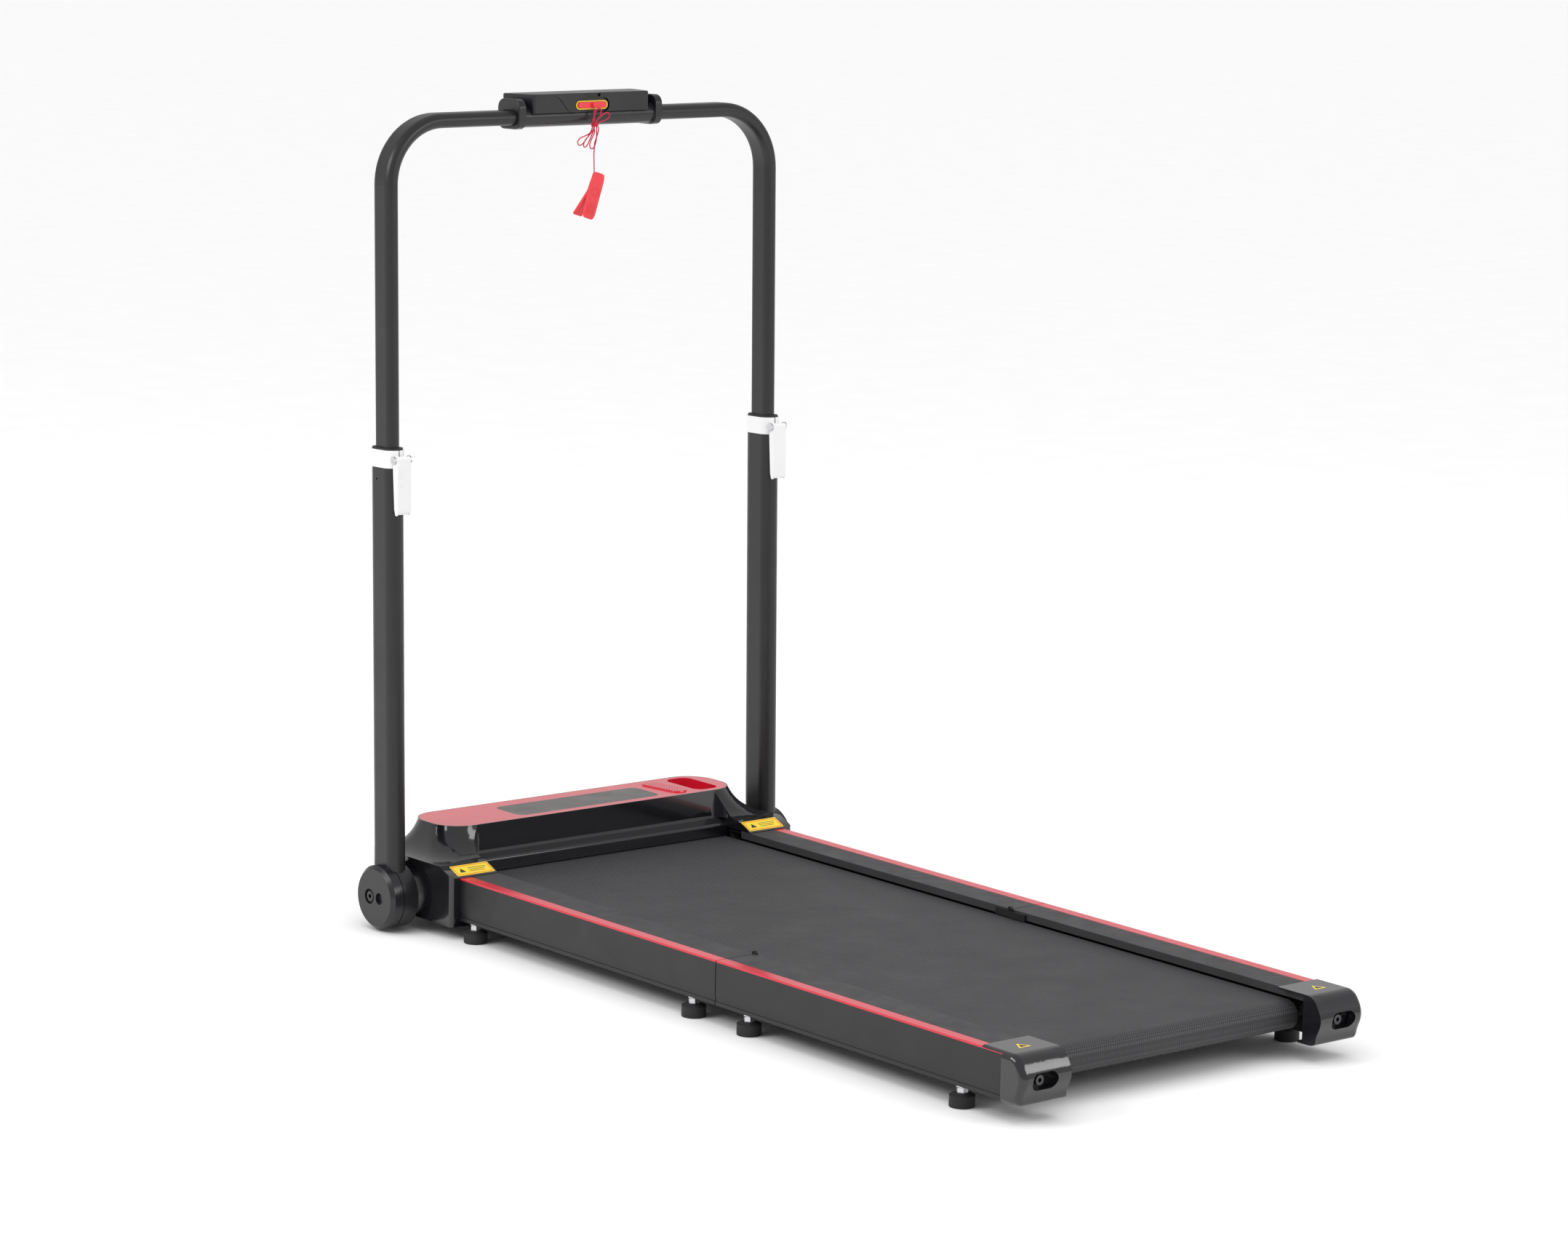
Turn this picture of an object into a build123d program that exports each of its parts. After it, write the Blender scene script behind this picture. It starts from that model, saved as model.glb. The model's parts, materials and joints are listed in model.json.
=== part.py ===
"""Folding motorised treadmill with a U handle, millimetres, +Z up, +Y the way the walker faces.

The deck is two halves joined by a hinge line across the belt.  The back half swings up and over
the front half, and the U handle telescopes and folds back over the deck.
The origin is on the floor under the middle of the machine.
"""

from build123d import *
import math
import os

# ------------------------------------------------------------------ overall sizes
rear_length = 590.0  # fold line to the back of the end caps
front_length = 738.0  # fold line to the front of the hood
deck_width = 566.0  # outside faces of the side rails
rail_bottom = 26.5  # floor to the underside of the rails
rail_top = 85.0  # floor to the top of the foot rails
handle_height = 1052.0  # pivot to the crossbar's centre, along the mast
handle_spacing = 651.0  # centre to centre of the two uprights
mast_lean = 1.36  # degrees that the mast leans forward

# ------------------------------------------------------------------ deck
fold_gap = 1.5
foot_rail_width = 62.0
rail_box = 39.0  # width of the rail's hollow part
rail_wall = 2.5
groove_depth = 1.0
groove_height = 7.0
groove_lift = 5.0
cover_thickness = 2.5
lip_wall = 2.0
stripe_width = 17.0
stripe_gap = 0.2
belt_width = 438.0
belt_thickness = 2.0
belt_sink = 12.5  # foot rail top down to the belt
belt_slack = 0.2  # board top to the belt, and roller to the belt
board_thickness = 14.7
board_width = 446.0
cross_depth = 30.0
cross_wall = 2.0
roller_radius = 16.8
roller_over_belt = 3.0  # roller end past the belt's edge
rear_roller_from_end = 68.0
front_roller_from_fold = front_length - 116.0
axle_radius = 6.0
bearing_fit = 0.02
bearing_radius = 12.0
bearing_width = 9.0
hinge_plate_length = 30.0
hinge_plate_thickness = 1.8
hinge_plate_gap = 0.2
hinge_eye_radius = 3.8
hinge_pin_radius = 1.8
hinge_lift = 0.2  # fold axis above the foot rails
hinge_clear = 1.1  # hinge plates above the belt

# ------------------------------------------------------------------ feet
foot_radius = 16.0
foot_from_edge = 8.0  # foot centre inside the rail's outside face
foot_pad_height = 14.5
foot_bevel_height = 3.0
foot_bevel_radius = 9.0
stud_radius = 4.0
stud_into_rail = 10.0
nut_flats = 13.0
nut_height = 6.5
front_feet = (53.0, front_length - 208.0)  # ahead of the fold line
rear_feet = (-60.0, -468.0)

# ------------------------------------------------------------------ end caps
cap_length = 78.0
cap_inner = 210.0  # inside face from the middle of the deck
cap_over_rail = 5.0
cap_plate = 2.5
cap_drop = 2.5  # cap below the rail's underside
cap_body_length = 40.0
slot_length = 41.0
slot_height = 22.0
slot_from_middle = 251.0
slot_depth = 11.0
tension_bolt_radius = 4.0
tension_head_radius = 6.3
cap_screw_head_radius = 4.0
cap_screw_offset = 13.0

# ------------------------------------------------------------------ hood and side covers
hood_height = 138.0
hood_shell = 3.0
hood_length = 508.0  # along X at the top
hood_back = front_length - 116.0  # back of the top face, from the fold line
hood_front_top = front_length - 12.0
hood_round = 42.0
hood_base = 98.0  # top of the side covers
hood_spread = 43.0  # how far each end flares out
lip_back = front_length - 131.0
lip_height = 90.5  # top of the rounded lip over the belt
lip_round = 5.0
cove_height = 98.5  # where the lip runs into the hood's wall
inner_round = 18.0  # corner between the wall and the flared ends
panel_thickness = 1.5
panel_inset = 1.5
display_length = 248.0
display_depth = 64.0
display_centre = front_length - 70.0
display_corner = 13.0
lens_thickness = 1.0
grille_width = 28.0
grille_depth = 80.0
grille_offset = 158.0
grille_slant = 9.0  # degrees that the grille leans
grille_rise = 2.0  # grille pad above the top panel
grille_hole = 1.1
grille_pitch = 5.2
grip_width = 46.0
grip_depth = 86.0
grip_offset = 208.0
grip_drop = 24.0
grip_corner = 17.0
side_cover_back = front_length - 183.0
side_cover_over_rail = 15.0
side_cover_bottom = 18.0
side_cover_slope = 27.0
cover_shell = 2.5
fit = 0.3

# ------------------------------------------------------------------ handle pivots
pivot_from_fold = front_length - 78.0
pivot_height = 47.0
hub_radius = 44.0
hub_inner = 309.0
hub_split = 332.0
hub_outer = 352.0
hub_chamfer = 5.0
shaft_past_split = 7.5  # shaft end inside the outer cover
shaft_radius = 8.0
shaft_fit = 0.06
boss_radius = 34.0
tube_seat = 14.0  # bottom of the lower tube above the pivot
screw_recess_radius = 10.5
lock_recess_radius = 8.0
recess_offset = 11.5

# ------------------------------------------------------------------ mast
lower_depth = 52.0
lower_width = 28.0
lower_wall = 1.8
upper_depth = 40.0
upper_width = 20.0
upper_wall = 1.6
bend_radius = 84.0
tube_overlap = 110.0
slide_fit = 0.3
collar_bottom = 590.0
collar_height = 24.0
collar_wall = 1.6
collar_fit = 0.1
bushing_length = 54.0
lever_pivot_back = 32.0
lever_pivot_height = 602.0
lever_bottom = 527.0
pinch_radius = 2.5
pinch_head_radius = 5.5
pinch_head_height = 2.5

# ------------------------------------------------------------------ console
console_length = 196.0  # across the face
console_back_length = 226.0
console_back = 33.0
console_front = 27.0
console_bottom = handle_height + 5.5
console_top = console_bottom + 26.0
console_wall = 2.5
console_lid = 3.0
saddle_length = 246.0
saddle_end_length = 12.0
tube_grip_fit = 0.1
socket_length = 58.0
socket_height = 20.0
socket_depth = 3.5
face_relief = 1.1  # the face's middle stands out by this much
notch_length = 28.0
socket_rise = 9.3  # socket centre above the console's bottom
ring_length = 54.0
ring_height = 12.0
ring_wall = 1.5
key_length = 48.0
key_height = 8.4
key_depth = 3.0
key_eye_radius = 3.0
key_eye_hole = 1.3

port_proud = 2.2  # mains switch past the hood's front

# ------------------------------------------------------------------ drive
motor_radius = 33.0
motor_length = 130.0
motor_from_fold = front_length - 43.0
motor_height = 66.0
motor_offset = 60.0
pulley_radius = 26.0
pulley_width = 12.0
pulley_offset = 233.0
motor_pulley_radius = 12.0
drive_belt_thickness = 1.8
drive_belt_gap = 0.3

# ------------------------------------------------------------------ worked out
fold_y = (rear_length - front_length - port_proud) / 2
half_width = deck_width / 2
rail_inner = half_width - rail_box
foot_rail_inner = half_width - foot_rail_width
metal_top = rail_top - cover_thickness
belt_top = rail_top - belt_sink
roller_z = belt_top - belt_thickness - belt_slack - roller_radius
board_top = belt_top - belt_thickness - belt_slack
board_bottom = board_top - board_thickness
cross_bottom = roller_z - roller_radius + 1.5
fold_z = rail_top + hinge_lift
rear_roller_y = fold_y - rear_length + rear_roller_from_end
front_roller_y = fold_y + front_roller_from_fold
roller_end = belt_width / 2 + roller_over_belt
pivot_y = fold_y + pivot_from_fold
upright_x = handle_spacing / 2
hood_front = fold_y + front_length
collar_top = collar_bottom + collar_height
SIDES = (("left", -1), ("right", 1))

mast = Plane(
    origin=(0, pivot_y, pivot_height),
    x_dir=(1, 0, 0),
    z_dir=(0, math.sin(math.radians(mast_lean)), math.cos(math.radians(mast_lean))),
)
# Side view of the mast: its X runs forward and its Y runs up the tubes.
mast_side = Plane(origin=mast.origin, x_dir=mast.y_dir, z_dir=(1, 0, 0))
# Front view of the mast: its X runs to the walker's right and its Y runs up the tubes.
mast_front = Plane(origin=mast.origin, x_dir=(1, 0, 0), z_dir=-mast.y_dir)


def across(y):
    """Plane across the deck at this Y, drawn in X and Z, facing back."""
    return Plane.XZ.offset(-y)


def save(piece, name):
    """Label a finished piece and write it as its own STEP file."""
    piece.part.label = name
    export_step(piece.part, f"parts/{name}.step")


def save_pair(pieces, name):
    """Write matching left and right pieces as one file of separate solids."""
    with BuildPart() as both:
        for piece in pieces:
            add(piece.part)
    save(both, name)


os.makedirs("parts", exist_ok=True)


# ------------------------------------------------------------------ rails, foot rails and stripes
def rail(side, y_front, y_back, foot_places):
    """Hollow side rail with a wing that carries the foot rail over the belt's edge."""
    height = metal_top - rail_bottom
    wing = rail_inner - foot_rail_inner - lip_wall - stripe_gap
    with BuildPart() as piece:
        with BuildSketch(across(y_front)):
            with Locations((side * (half_width - rail_box / 2), rail_bottom + height / 2)):
                Rectangle(rail_box, height)
                Rectangle(rail_box - 2 * rail_wall, height - 2 * rail_wall, mode=Mode.SUBTRACT)
            with Locations((side * (rail_inner - wing / 2 + 0.5), metal_top - rail_wall / 2)):
                Rectangle(wing + 1.0, rail_wall)
            groove_z = rail_bottom + groove_lift + groove_height / 2
            with Locations((side * half_width, groove_z)):
                Rectangle(2 * groove_depth, groove_height, mode=Mode.SUBTRACT)
        extrude(amount=y_front - y_back)
        with Locations(*[(side * (half_width - foot_from_edge), y, rail_bottom) for y in foot_places]):
            Cylinder(stud_radius + 0.2, 4 * rail_wall, mode=Mode.SUBTRACT)
    return piece


def foot_cover(y_front, y_back):
    """Textured foot rail strips, one each side, with the lip that hangs down beside the belt."""
    width = foot_rail_width - stripe_width - stripe_gap
    lip_height = belt_sink - hinge_clear - 1.0
    with BuildPart() as piece:
        for _, side in SIDES:
            with BuildSketch(across(y_front)):
                centre = foot_rail_inner + width / 2
                with Locations((side * centre, rail_top - cover_thickness / 2)):
                    Rectangle(width, cover_thickness)
                with Locations((side * (foot_rail_inner + lip_wall / 2), rail_top - lip_height / 2)):
                    Rectangle(lip_wall, lip_height)
            extrude(amount=y_front - y_back)
    return piece


def stripe_pair(y_front, y_back):
    """Coloured trim strips let into the outer top edges of the rails."""
    with BuildPart() as piece:
        for _, side in SIDES:
            with BuildSketch(across(y_front)):
                with Locations((side * (half_width - stripe_width / 2), rail_top - cover_thickness / 2)):
                    Rectangle(stripe_width, cover_thickness)
            extrude(amount=y_front - y_back)
        outer = piece.edges().filter_by(Axis.Y).group_by(Axis.Z)[-1]
        chamfer(outer.filter_by(lambda e: abs(e.center().X) > half_width - 1), 0.8)
    return piece


fold_front = fold_y + fold_gap / 2
fold_back = fold_y - fold_gap / 2
front_rail_end = fold_y + front_length - 34.0
rear_rail_end = fold_y - rear_length + 32.0
cap_edge = fold_y - rear_length + cap_length
front_foot_y = [fold_y + place for place in front_feet]
rear_foot_y = [fold_y + place for place in rear_feet]

for word, side in SIDES:
    front_rail = rail(side, front_rail_end, fold_front, front_foot_y)
    rear_rail = rail(side, fold_back, rear_rail_end, rear_foot_y)
    with BuildPart() as slotted_rail:
        add(rear_rail.part)
        with Locations((side * rail_inner, rear_roller_y, roller_z)):
            Box(4 * rail_wall, 3 * axle_radius, 2 * axle_radius + 0.4, mode=Mode.SUBTRACT)
    with BuildPart() as drilled_rail:
        add(front_rail.part)
        with Locations((side * rail_inner, front_roller_y, roller_z)):
            Cylinder(axle_radius + 0.1, 4 * rail_wall, rotation=(0, 90, 0), mode=Mode.SUBTRACT)
        with Locations((side * half_width, pivot_y, pivot_height)):
            Cylinder(shaft_radius, 4 * rail_wall, rotation=(0, 90, 0), mode=Mode.SUBTRACT)
        # The wing and the foot rail stop where the hood begins.
        wing_y = fold_y + lip_back
        with Locations((side * (foot_rail_inner + rail_inner) / 2, wing_y, metal_top)):
            Box(
                rail_inner - foot_rail_inner,
                front_rail_end - wing_y + 1.0,
                4 * rail_wall,
                align=(Align.CENTER, Align.MIN, Align.CENTER),
                mode=Mode.SUBTRACT,
            )
    save(drilled_rail, f"rail_front_{word}")
    save(slotted_rail, f"rail_rear_{word}")

save(foot_cover(fold_y + side_cover_back + 20.0, fold_front), "foot_rails_front")
save(foot_cover(fold_back, rear_rail_end), "foot_rails_rear")
save(stripe_pair(fold_y + side_cover_back + 20.0, fold_front), "trim_stripes_front")
save(stripe_pair(fold_back, rear_rail_end), "trim_stripes_rear")


# ------------------------------------------------------------------ deck boards and cross members
def deck_board(y_front, y_back):
    """Board that the belt slides on."""
    with BuildPart() as piece:
        with BuildSketch(across(y_front)):
            with Locations((0, board_bottom + board_thickness / 2)):
                Rectangle(board_width, board_thickness)
        extrude(amount=y_front - y_back)
        fillet(piece.edges().filter_by(Axis.X).group_by(Axis.Z)[-1], 3.0)
    return piece


def cross_members(places):
    """Hollow cross members between the rails, under the board and inside the belt's loop."""
    height = board_bottom - cross_bottom
    with BuildPart() as piece:
        for place in places:
            with BuildSketch(Plane.YZ.offset(-rail_inner)):
                with Locations((place, cross_bottom + height / 2)):
                    Rectangle(cross_depth, height)
                    Rectangle(cross_depth - 2 * cross_wall, height - 2 * cross_wall, mode=Mode.SUBTRACT)
            extrude(amount=2 * rail_inner)
    return piece


board_front_end = front_roller_y - roller_radius - 8.0
board_rear_end = rear_roller_y + roller_radius + 8.0
save(deck_board(board_front_end, fold_front), "deck_board_front")
save(deck_board(fold_back, board_rear_end), "deck_board_rear")
save(cross_members((fold_y + 40.0, board_front_end - 30.0)), "cross_members_front")
save(cross_members((fold_y - 40.0, board_rear_end + 30.0)), "cross_members_rear")

# ------------------------------------------------------------------ running belt
belt_run = front_roller_y - rear_roller_y
belt_inner = roller_radius + belt_slack
with BuildPart() as running_belt:
    with BuildSketch(Plane.YZ.offset(-belt_width / 2)):
        with Locations(((front_roller_y + rear_roller_y) / 2, roller_z)):
            SlotCenterToCenter(belt_run, 2 * (belt_inner + belt_thickness))
            SlotCenterToCenter(belt_run, 2 * belt_inner, mode=Mode.SUBTRACT)
    extrude(amount=belt_width)
save(running_belt, "running_belt")


# ------------------------------------------------------------------ rollers, axles and bearings
def roller(y, with_pulley):
    """Steel tube roller with bearing seats; the front one carries the driven pulley."""
    with BuildPart() as piece:
        with BuildSketch(Plane.YZ.offset(-roller_end)):
            with Locations((y, roller_z)):
                Circle(roller_radius)
                Circle(bearing_radius, mode=Mode.SUBTRACT)
        extrude(amount=2 * roller_end)
        if with_pulley:
            with BuildSketch(Plane.YZ.offset(roller_end)):
                with Locations((y, roller_z)):
                    Circle(roller_radius)
                    Circle(axle_radius + 0.5, mode=Mode.SUBTRACT)
            extrude(amount=pulley_offset - pulley_width / 2 - roller_end)
            with BuildSketch(Plane.YZ.offset(pulley_offset - pulley_width / 2)):
                with Locations((y, roller_z)):
                    Circle(pulley_radius)
                    Circle(axle_radius + 0.5, mode=Mode.SUBTRACT)
            extrude(amount=pulley_width)
    return piece


def axle(y, reach):
    """Fixed axle that the roller's bearings turn on."""
    with BuildPart() as piece:
        with BuildSketch(Plane.YZ.offset(-reach)):
            with Locations((y, roller_z)):
                Circle(axle_radius)
        extrude(amount=2 * reach)
        chamfer(piece.edges().filter_by(GeomType.CIRCLE), 0.8)
    return piece


def bearings(y):
    """Two sealed ball bearings on the axle; the roller turns on their outside."""
    with BuildPart() as piece:
        for start in (-roller_end + 1.0, roller_end - 1.0 - bearing_width):
            with BuildSketch(Plane.YZ.offset(start)):
                with Locations((y, roller_z)):
                    Circle(bearing_radius - bearing_fit)
            extrude(amount=bearing_width)
    return piece


save(roller(front_roller_y, True), "front_roller")
save(roller(rear_roller_y, False), "rear_roller")
axle_reach = rail_inner + rail_wall + 17.0
with BuildPart() as front_axle:
    add(axle(front_roller_y, axle_reach).part)
    add(bearings(front_roller_y).part)
save(front_axle, "front_axle")
with BuildPart() as rear_axle:
    add(axle(rear_roller_y, axle_reach).part)
    add(bearings(rear_roller_y).part)
    with Locations(*[(s * slot_from_middle, rear_roller_y, roller_z) for s in (-1, 1)]):
        Cylinder(tension_bolt_radius + 0.1, 40.0, rotation=(90, 0, 0), mode=Mode.SUBTRACT)
save(rear_axle, "rear_axle")


# ------------------------------------------------------------------ feet
def foot_spots(places):
    """Foot centres for both rails."""
    x = half_width - foot_from_edge
    return [(side * x, y) for _, side in SIDES for y in places]


def foot_pads(places):
    """Rubber pads with a bevelled shoulder."""
    with BuildPart() as piece:
        with Locations(*[(x, y, 0) for x, y in foot_spots(places)]):
            Cylinder(foot_radius, foot_pad_height, align=(Align.CENTER, Align.CENTER, Align.MIN))
        with Locations(*[(x, y, foot_pad_height) for x, y in foot_spots(places)]):
            Cone(
                foot_radius,
                foot_bevel_radius,
                foot_bevel_height,
                align=(Align.CENTER, Align.CENTER, Align.MIN),
            )
        bottom = piece.edges().filter_by(GeomType.CIRCLE).group_by(Axis.Z)[0]
        fillet(bottom, 1.2)
    return piece


def foot_studs(places):
    """Threaded studs with their hexagonal lock nuts, one solid for each foot."""
    base = foot_pad_height + foot_bevel_height
    with BuildPart() as piece:
        with BuildSketch(Plane.XY.offset(base)):
            with Locations(*foot_spots(places)):
                Circle(stud_radius)
        extrude(amount=rail_bottom + stud_into_rail - base)
        with BuildSketch(Plane.XY.offset(base)):
            with Locations(*foot_spots(places)):
                RegularPolygon(nut_flats / 2, 6, major_radius=False)
        extrude(amount=nut_height)
        with BuildSketch(Plane.XY.offset(rail_bottom - 1.6)):
            with Locations(*foot_spots(places)):
                Circle(nut_flats / 2 + 1.0)
        extrude(amount=1.6)
    return piece


save(foot_pads(front_foot_y), "foot_pads_front")
save(foot_pads(rear_foot_y), "foot_pads_rear")
save(foot_studs(front_foot_y), "foot_studs_front")
save(foot_studs(rear_foot_y), "foot_studs_rear")

# ------------------------------------------------------------------ fold hinges
plate_bottom = belt_top + hinge_clear
plate_height = rail_top - plate_bottom - 2.5
front_plate_x = foot_rail_inner - hinge_plate_thickness
rear_plate_x = front_plate_x - hinge_plate_gap - hinge_plate_thickness


def hinge_plate(side, start_x, direction):
    """Upright plate beside the belt with an eye on the fold axis."""
    if side < 0:
        start_x = -start_x - hinge_plate_thickness
    with BuildPart() as piece:
        with BuildSketch(Plane.YZ.offset(start_x)):
            with Locations((fold_y + direction * hinge_plate_length / 2, plate_bottom + plate_height / 2)):
                Rectangle(hinge_plate_length, plate_height)
            with Locations((fold_y, fold_z)):
                Circle(hinge_eye_radius)
            with Locations((fold_y + direction * hinge_eye_radius / 2, fold_z - hinge_eye_radius / 2)):
                Rectangle(hinge_eye_radius, hinge_eye_radius)
        extrude(amount=hinge_plate_thickness)
    return piece.part


# The pin is riveted into the front plate and stands out towards the belt.
pin_start = rear_plate_x - 1.5
pin_length = foot_rail_inner - pin_start
with BuildPart() as hinge_front:
    for _, side in SIDES:
        add(hinge_plate(side, front_plate_x, 1))
        with Locations((side * (pin_start + pin_length / 2), fold_y, fold_z)):
            Cylinder(hinge_pin_radius, pin_length, rotation=(0, 90, 0))
save(hinge_front, "hinge_plates_front")

# A packing block carries the rear plate off the foot rail's lip.
block_x = (rear_plate_x + hinge_plate_thickness + foot_rail_inner) / 2
block_width = foot_rail_inner - rear_plate_x - hinge_plate_thickness
block_length = hinge_plate_length - 8.0
block_y = fold_y - hinge_plate_length + block_length / 2
with BuildPart() as hinge_rear:
    for _, side in SIDES:
        add(hinge_plate(side, rear_plate_x, -1))
        with Locations((side * block_x, block_y, plate_bottom + plate_height / 2)):
            Box(block_width, block_length, plate_height)
    for _, side in SIDES:
        with Locations((side * rear_plate_x, fold_y, fold_z)):
            Cylinder(hinge_pin_radius + 0.05, 12.0, rotation=(0, 90, 0), mode=Mode.SUBTRACT)
save(hinge_rear, "hinge_plates_rear")

# ------------------------------------------------------------------ rear end caps
cap_back = fold_y - rear_length
cap_outer = half_width + cap_over_rail
cap_top = rail_top + cap_plate
cap_bottom = rail_bottom - cap_drop
cap_nose = cap_top - 31.0  # height of the cap's rearmost point
cap_top_run = 27.0  # where the flat top and the flat bottom begin
for word, side in SIDES:
    start = cap_inner if side > 0 else -cap_outer
    with BuildPart() as end_cap:
        with BuildSketch(Plane.YZ.offset(start)):
            with BuildLine():
                Polyline(
                    (cap_back + cap_top_run, cap_bottom),
                    (cap_edge, cap_bottom),
                    (cap_edge, cap_top),
                    (cap_back + cap_top_run, cap_top),
                )
                Spline(
                    (cap_back + cap_top_run, cap_top),
                    (cap_back + 7.0, cap_top - 12.0),
                    (cap_back, cap_nose),
                    (cap_back + 8.0, cap_bottom + 10.0),
                    (cap_back + cap_top_run, cap_bottom),
                    tangents=((-1, 0), (1, 0)),
                )
            make_face()
        extrude(amount=cap_outer - cap_inner)
        # The outer corner is rounded in plan.
        corner = end_cap.edges().filter_by(lambda e: abs(e.center().X) > cap_outer - 0.1)
        corner = corner.filter_by(lambda e: e.center().Y < cap_back + cap_top_run)
        fillet(corner, 9.0)
        # Room for the rail, the foot rail and the axle.
        with Locations((0, rear_rail_end - 0.1, rail_bottom - 0.1)):
            Box(
                2 * (half_width + 0.1),
                cap_length,
                rail_top - rail_bottom + 0.1,
                align=(Align.CENTER, Align.MIN, Align.MIN),
                mode=Mode.SUBTRACT,
            )
        # The open front of the cap stops short so that only the top plate covers the foot rail.
        with Locations((0, cap_edge, cap_bottom)):
            Box(
                2 * cap_outer + 1.0,
                2 * (cap_length - cap_body_length),
                cap_top - cap_bottom - cap_plate,
                align=(Align.CENTER, Align.CENTER, Align.MIN),
                mode=Mode.SUBTRACT,
            )
        # Slot that shows the tension bolt.
        with BuildSketch(across(cap_back - 1.0)):
            with Locations((side * slot_from_middle, roller_z + 1.0)):
                SlotOverall(slot_length, slot_height)
        extrude(amount=-(slot_depth + 8.0), mode=Mode.SUBTRACT)
        # Bore for the tension bolt.
        with Locations((side * slot_from_middle, cap_back + cap_length / 2, roller_z)):
            Cylinder(tension_bolt_radius + 0.15, cap_length, rotation=(90, 0, 0), mode=Mode.SUBTRACT)
    save(end_cap, f"end_cap_{word}")

bolt_seat = cap_back - 1.0 + slot_depth + 8.0
with BuildPart() as tension_bolts:
    for _, side in SIDES:
        with BuildSketch(across(rear_roller_y + 14.0)):
            with Locations((side * slot_from_middle, roller_z)):
                Circle(tension_bolt_radius)
        extrude(amount=rear_roller_y + 14.0 - bolt_seat)
        with BuildSketch(across(bolt_seat)):
            with Locations((side * slot_from_middle, roller_z)):
                Circle(tension_head_radius)
        extrude(amount=7.0)
    for _, side in SIDES:
        with BuildSketch(across(bolt_seat - 7.0)):
            with Locations((side * slot_from_middle, roller_z)):
                RegularPolygon(3.0, 6)
        extrude(amount=-4.0, mode=Mode.SUBTRACT)
with BuildPart() as cap_screws:
    for _, side in SIDES:
        with BuildSketch(across(bolt_seat)):
            with Locations((side * (slot_from_middle + cap_screw_offset), roller_z + 1.0)):
                Circle(cap_screw_head_radius)
        extrude(amount=2.5)
    for _, side in SIDES:
        with BuildSketch(across(bolt_seat - 2.5)):
            with Locations((side * (slot_from_middle + cap_screw_offset), roller_z + 1.0)):
                Rectangle(5.0, 1.0)
                Rectangle(1.0, 5.0)
        extrude(amount=-1.2, mode=Mode.SUBTRACT)
save_pair([tension_bolts, cap_screws], "cap_bolts")

# ------------------------------------------------------------------ side covers
side_cover_outer = half_width + side_cover_over_rail
cover_back = fold_y + side_cover_back
cover_inner_x = foot_rail_inner


def cover_outline(shrink):
    """Side view of a side cover, drawn in Y and Z."""
    return [
        (cover_back + shrink, side_cover_bottom + shrink),
        (cover_back + shrink, rail_top + 1.0 - shrink),
        (cover_back + side_cover_slope + shrink * 0.6, hood_base - shrink),
        (hood_front - shrink, hood_base - shrink),
        (hood_front - shrink, side_cover_bottom + shrink),
    ]


side_covers = []
for _, side in SIDES:
    start = cover_inner_x if side > 0 else -side_cover_outer
    hollow_start = cover_inner_x + cover_shell if side > 0 else -side_cover_outer + cover_shell
    with BuildPart() as side_cover:
        with BuildSketch(Plane.YZ.offset(start)):
            with BuildLine():
                Polyline(*cover_outline(0.0), close=True)
            make_face()
        extrude(amount=side_cover_outer - cover_inner_x)
        back_edges = side_cover.edges().filter_by(Axis.Z).filter_by(lambda e: e.center().Y < cover_back + 1)
        fillet(back_edges.filter_by(lambda e: abs(e.center().X) > half_width), 6.0)
        with BuildSketch(Plane.YZ.offset(hollow_start)):
            with BuildLine():
                Polyline(*cover_outline(cover_shell), close=True)
            make_face()
        extrude(amount=side_cover_outer - cover_inner_x - 2 * cover_shell, mode=Mode.SUBTRACT)
        # Way in for the rail and its foot rail.
        passage = half_width + 0.2 - (cover_inner_x - 1.0)
        with Locations((side * (half_width + 0.2 - passage / 2), cover_back - 1.0, rail_bottom - 0.2)):
            Box(
                passage,
                40.0,
                rail_top - rail_bottom + 0.4,
                align=(Align.CENTER, Align.MIN, Align.MIN),
                mode=Mode.SUBTRACT,
            )
        # The inside wall is open to the roller and the drive.
        with Locations((side * cover_inner_x, cover_back + 30.0, side_cover_bottom + cover_shell)):
            Box(
                2 * cover_shell + 1.0,
                hood_front - cover_shell - cover_back - 30.0,
                rail_top + 0.2 - side_cover_bottom - cover_shell,
                align=(Align.CENTER, Align.MIN, Align.MIN),
                mode=Mode.SUBTRACT,
            )
        with Locations((side * side_cover_outer, pivot_y, pivot_height)):
            Cylinder(shaft_radius + 0.3, 4 * cover_shell, rotation=(0, 90, 0), mode=Mode.SUBTRACT)
    side_covers.append(side_cover)
save_pair(side_covers, "side_covers")

# ------------------------------------------------------------------ hood
hood_mid = fold_y + (hood_back + hood_front_top) / 2
hood_depth = hood_front_top - hood_back
base_back = fold_y + side_cover_back + side_cover_slope + 8.0
wall_back = fold_y + hood_back
wall_clear = 120.0


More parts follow.
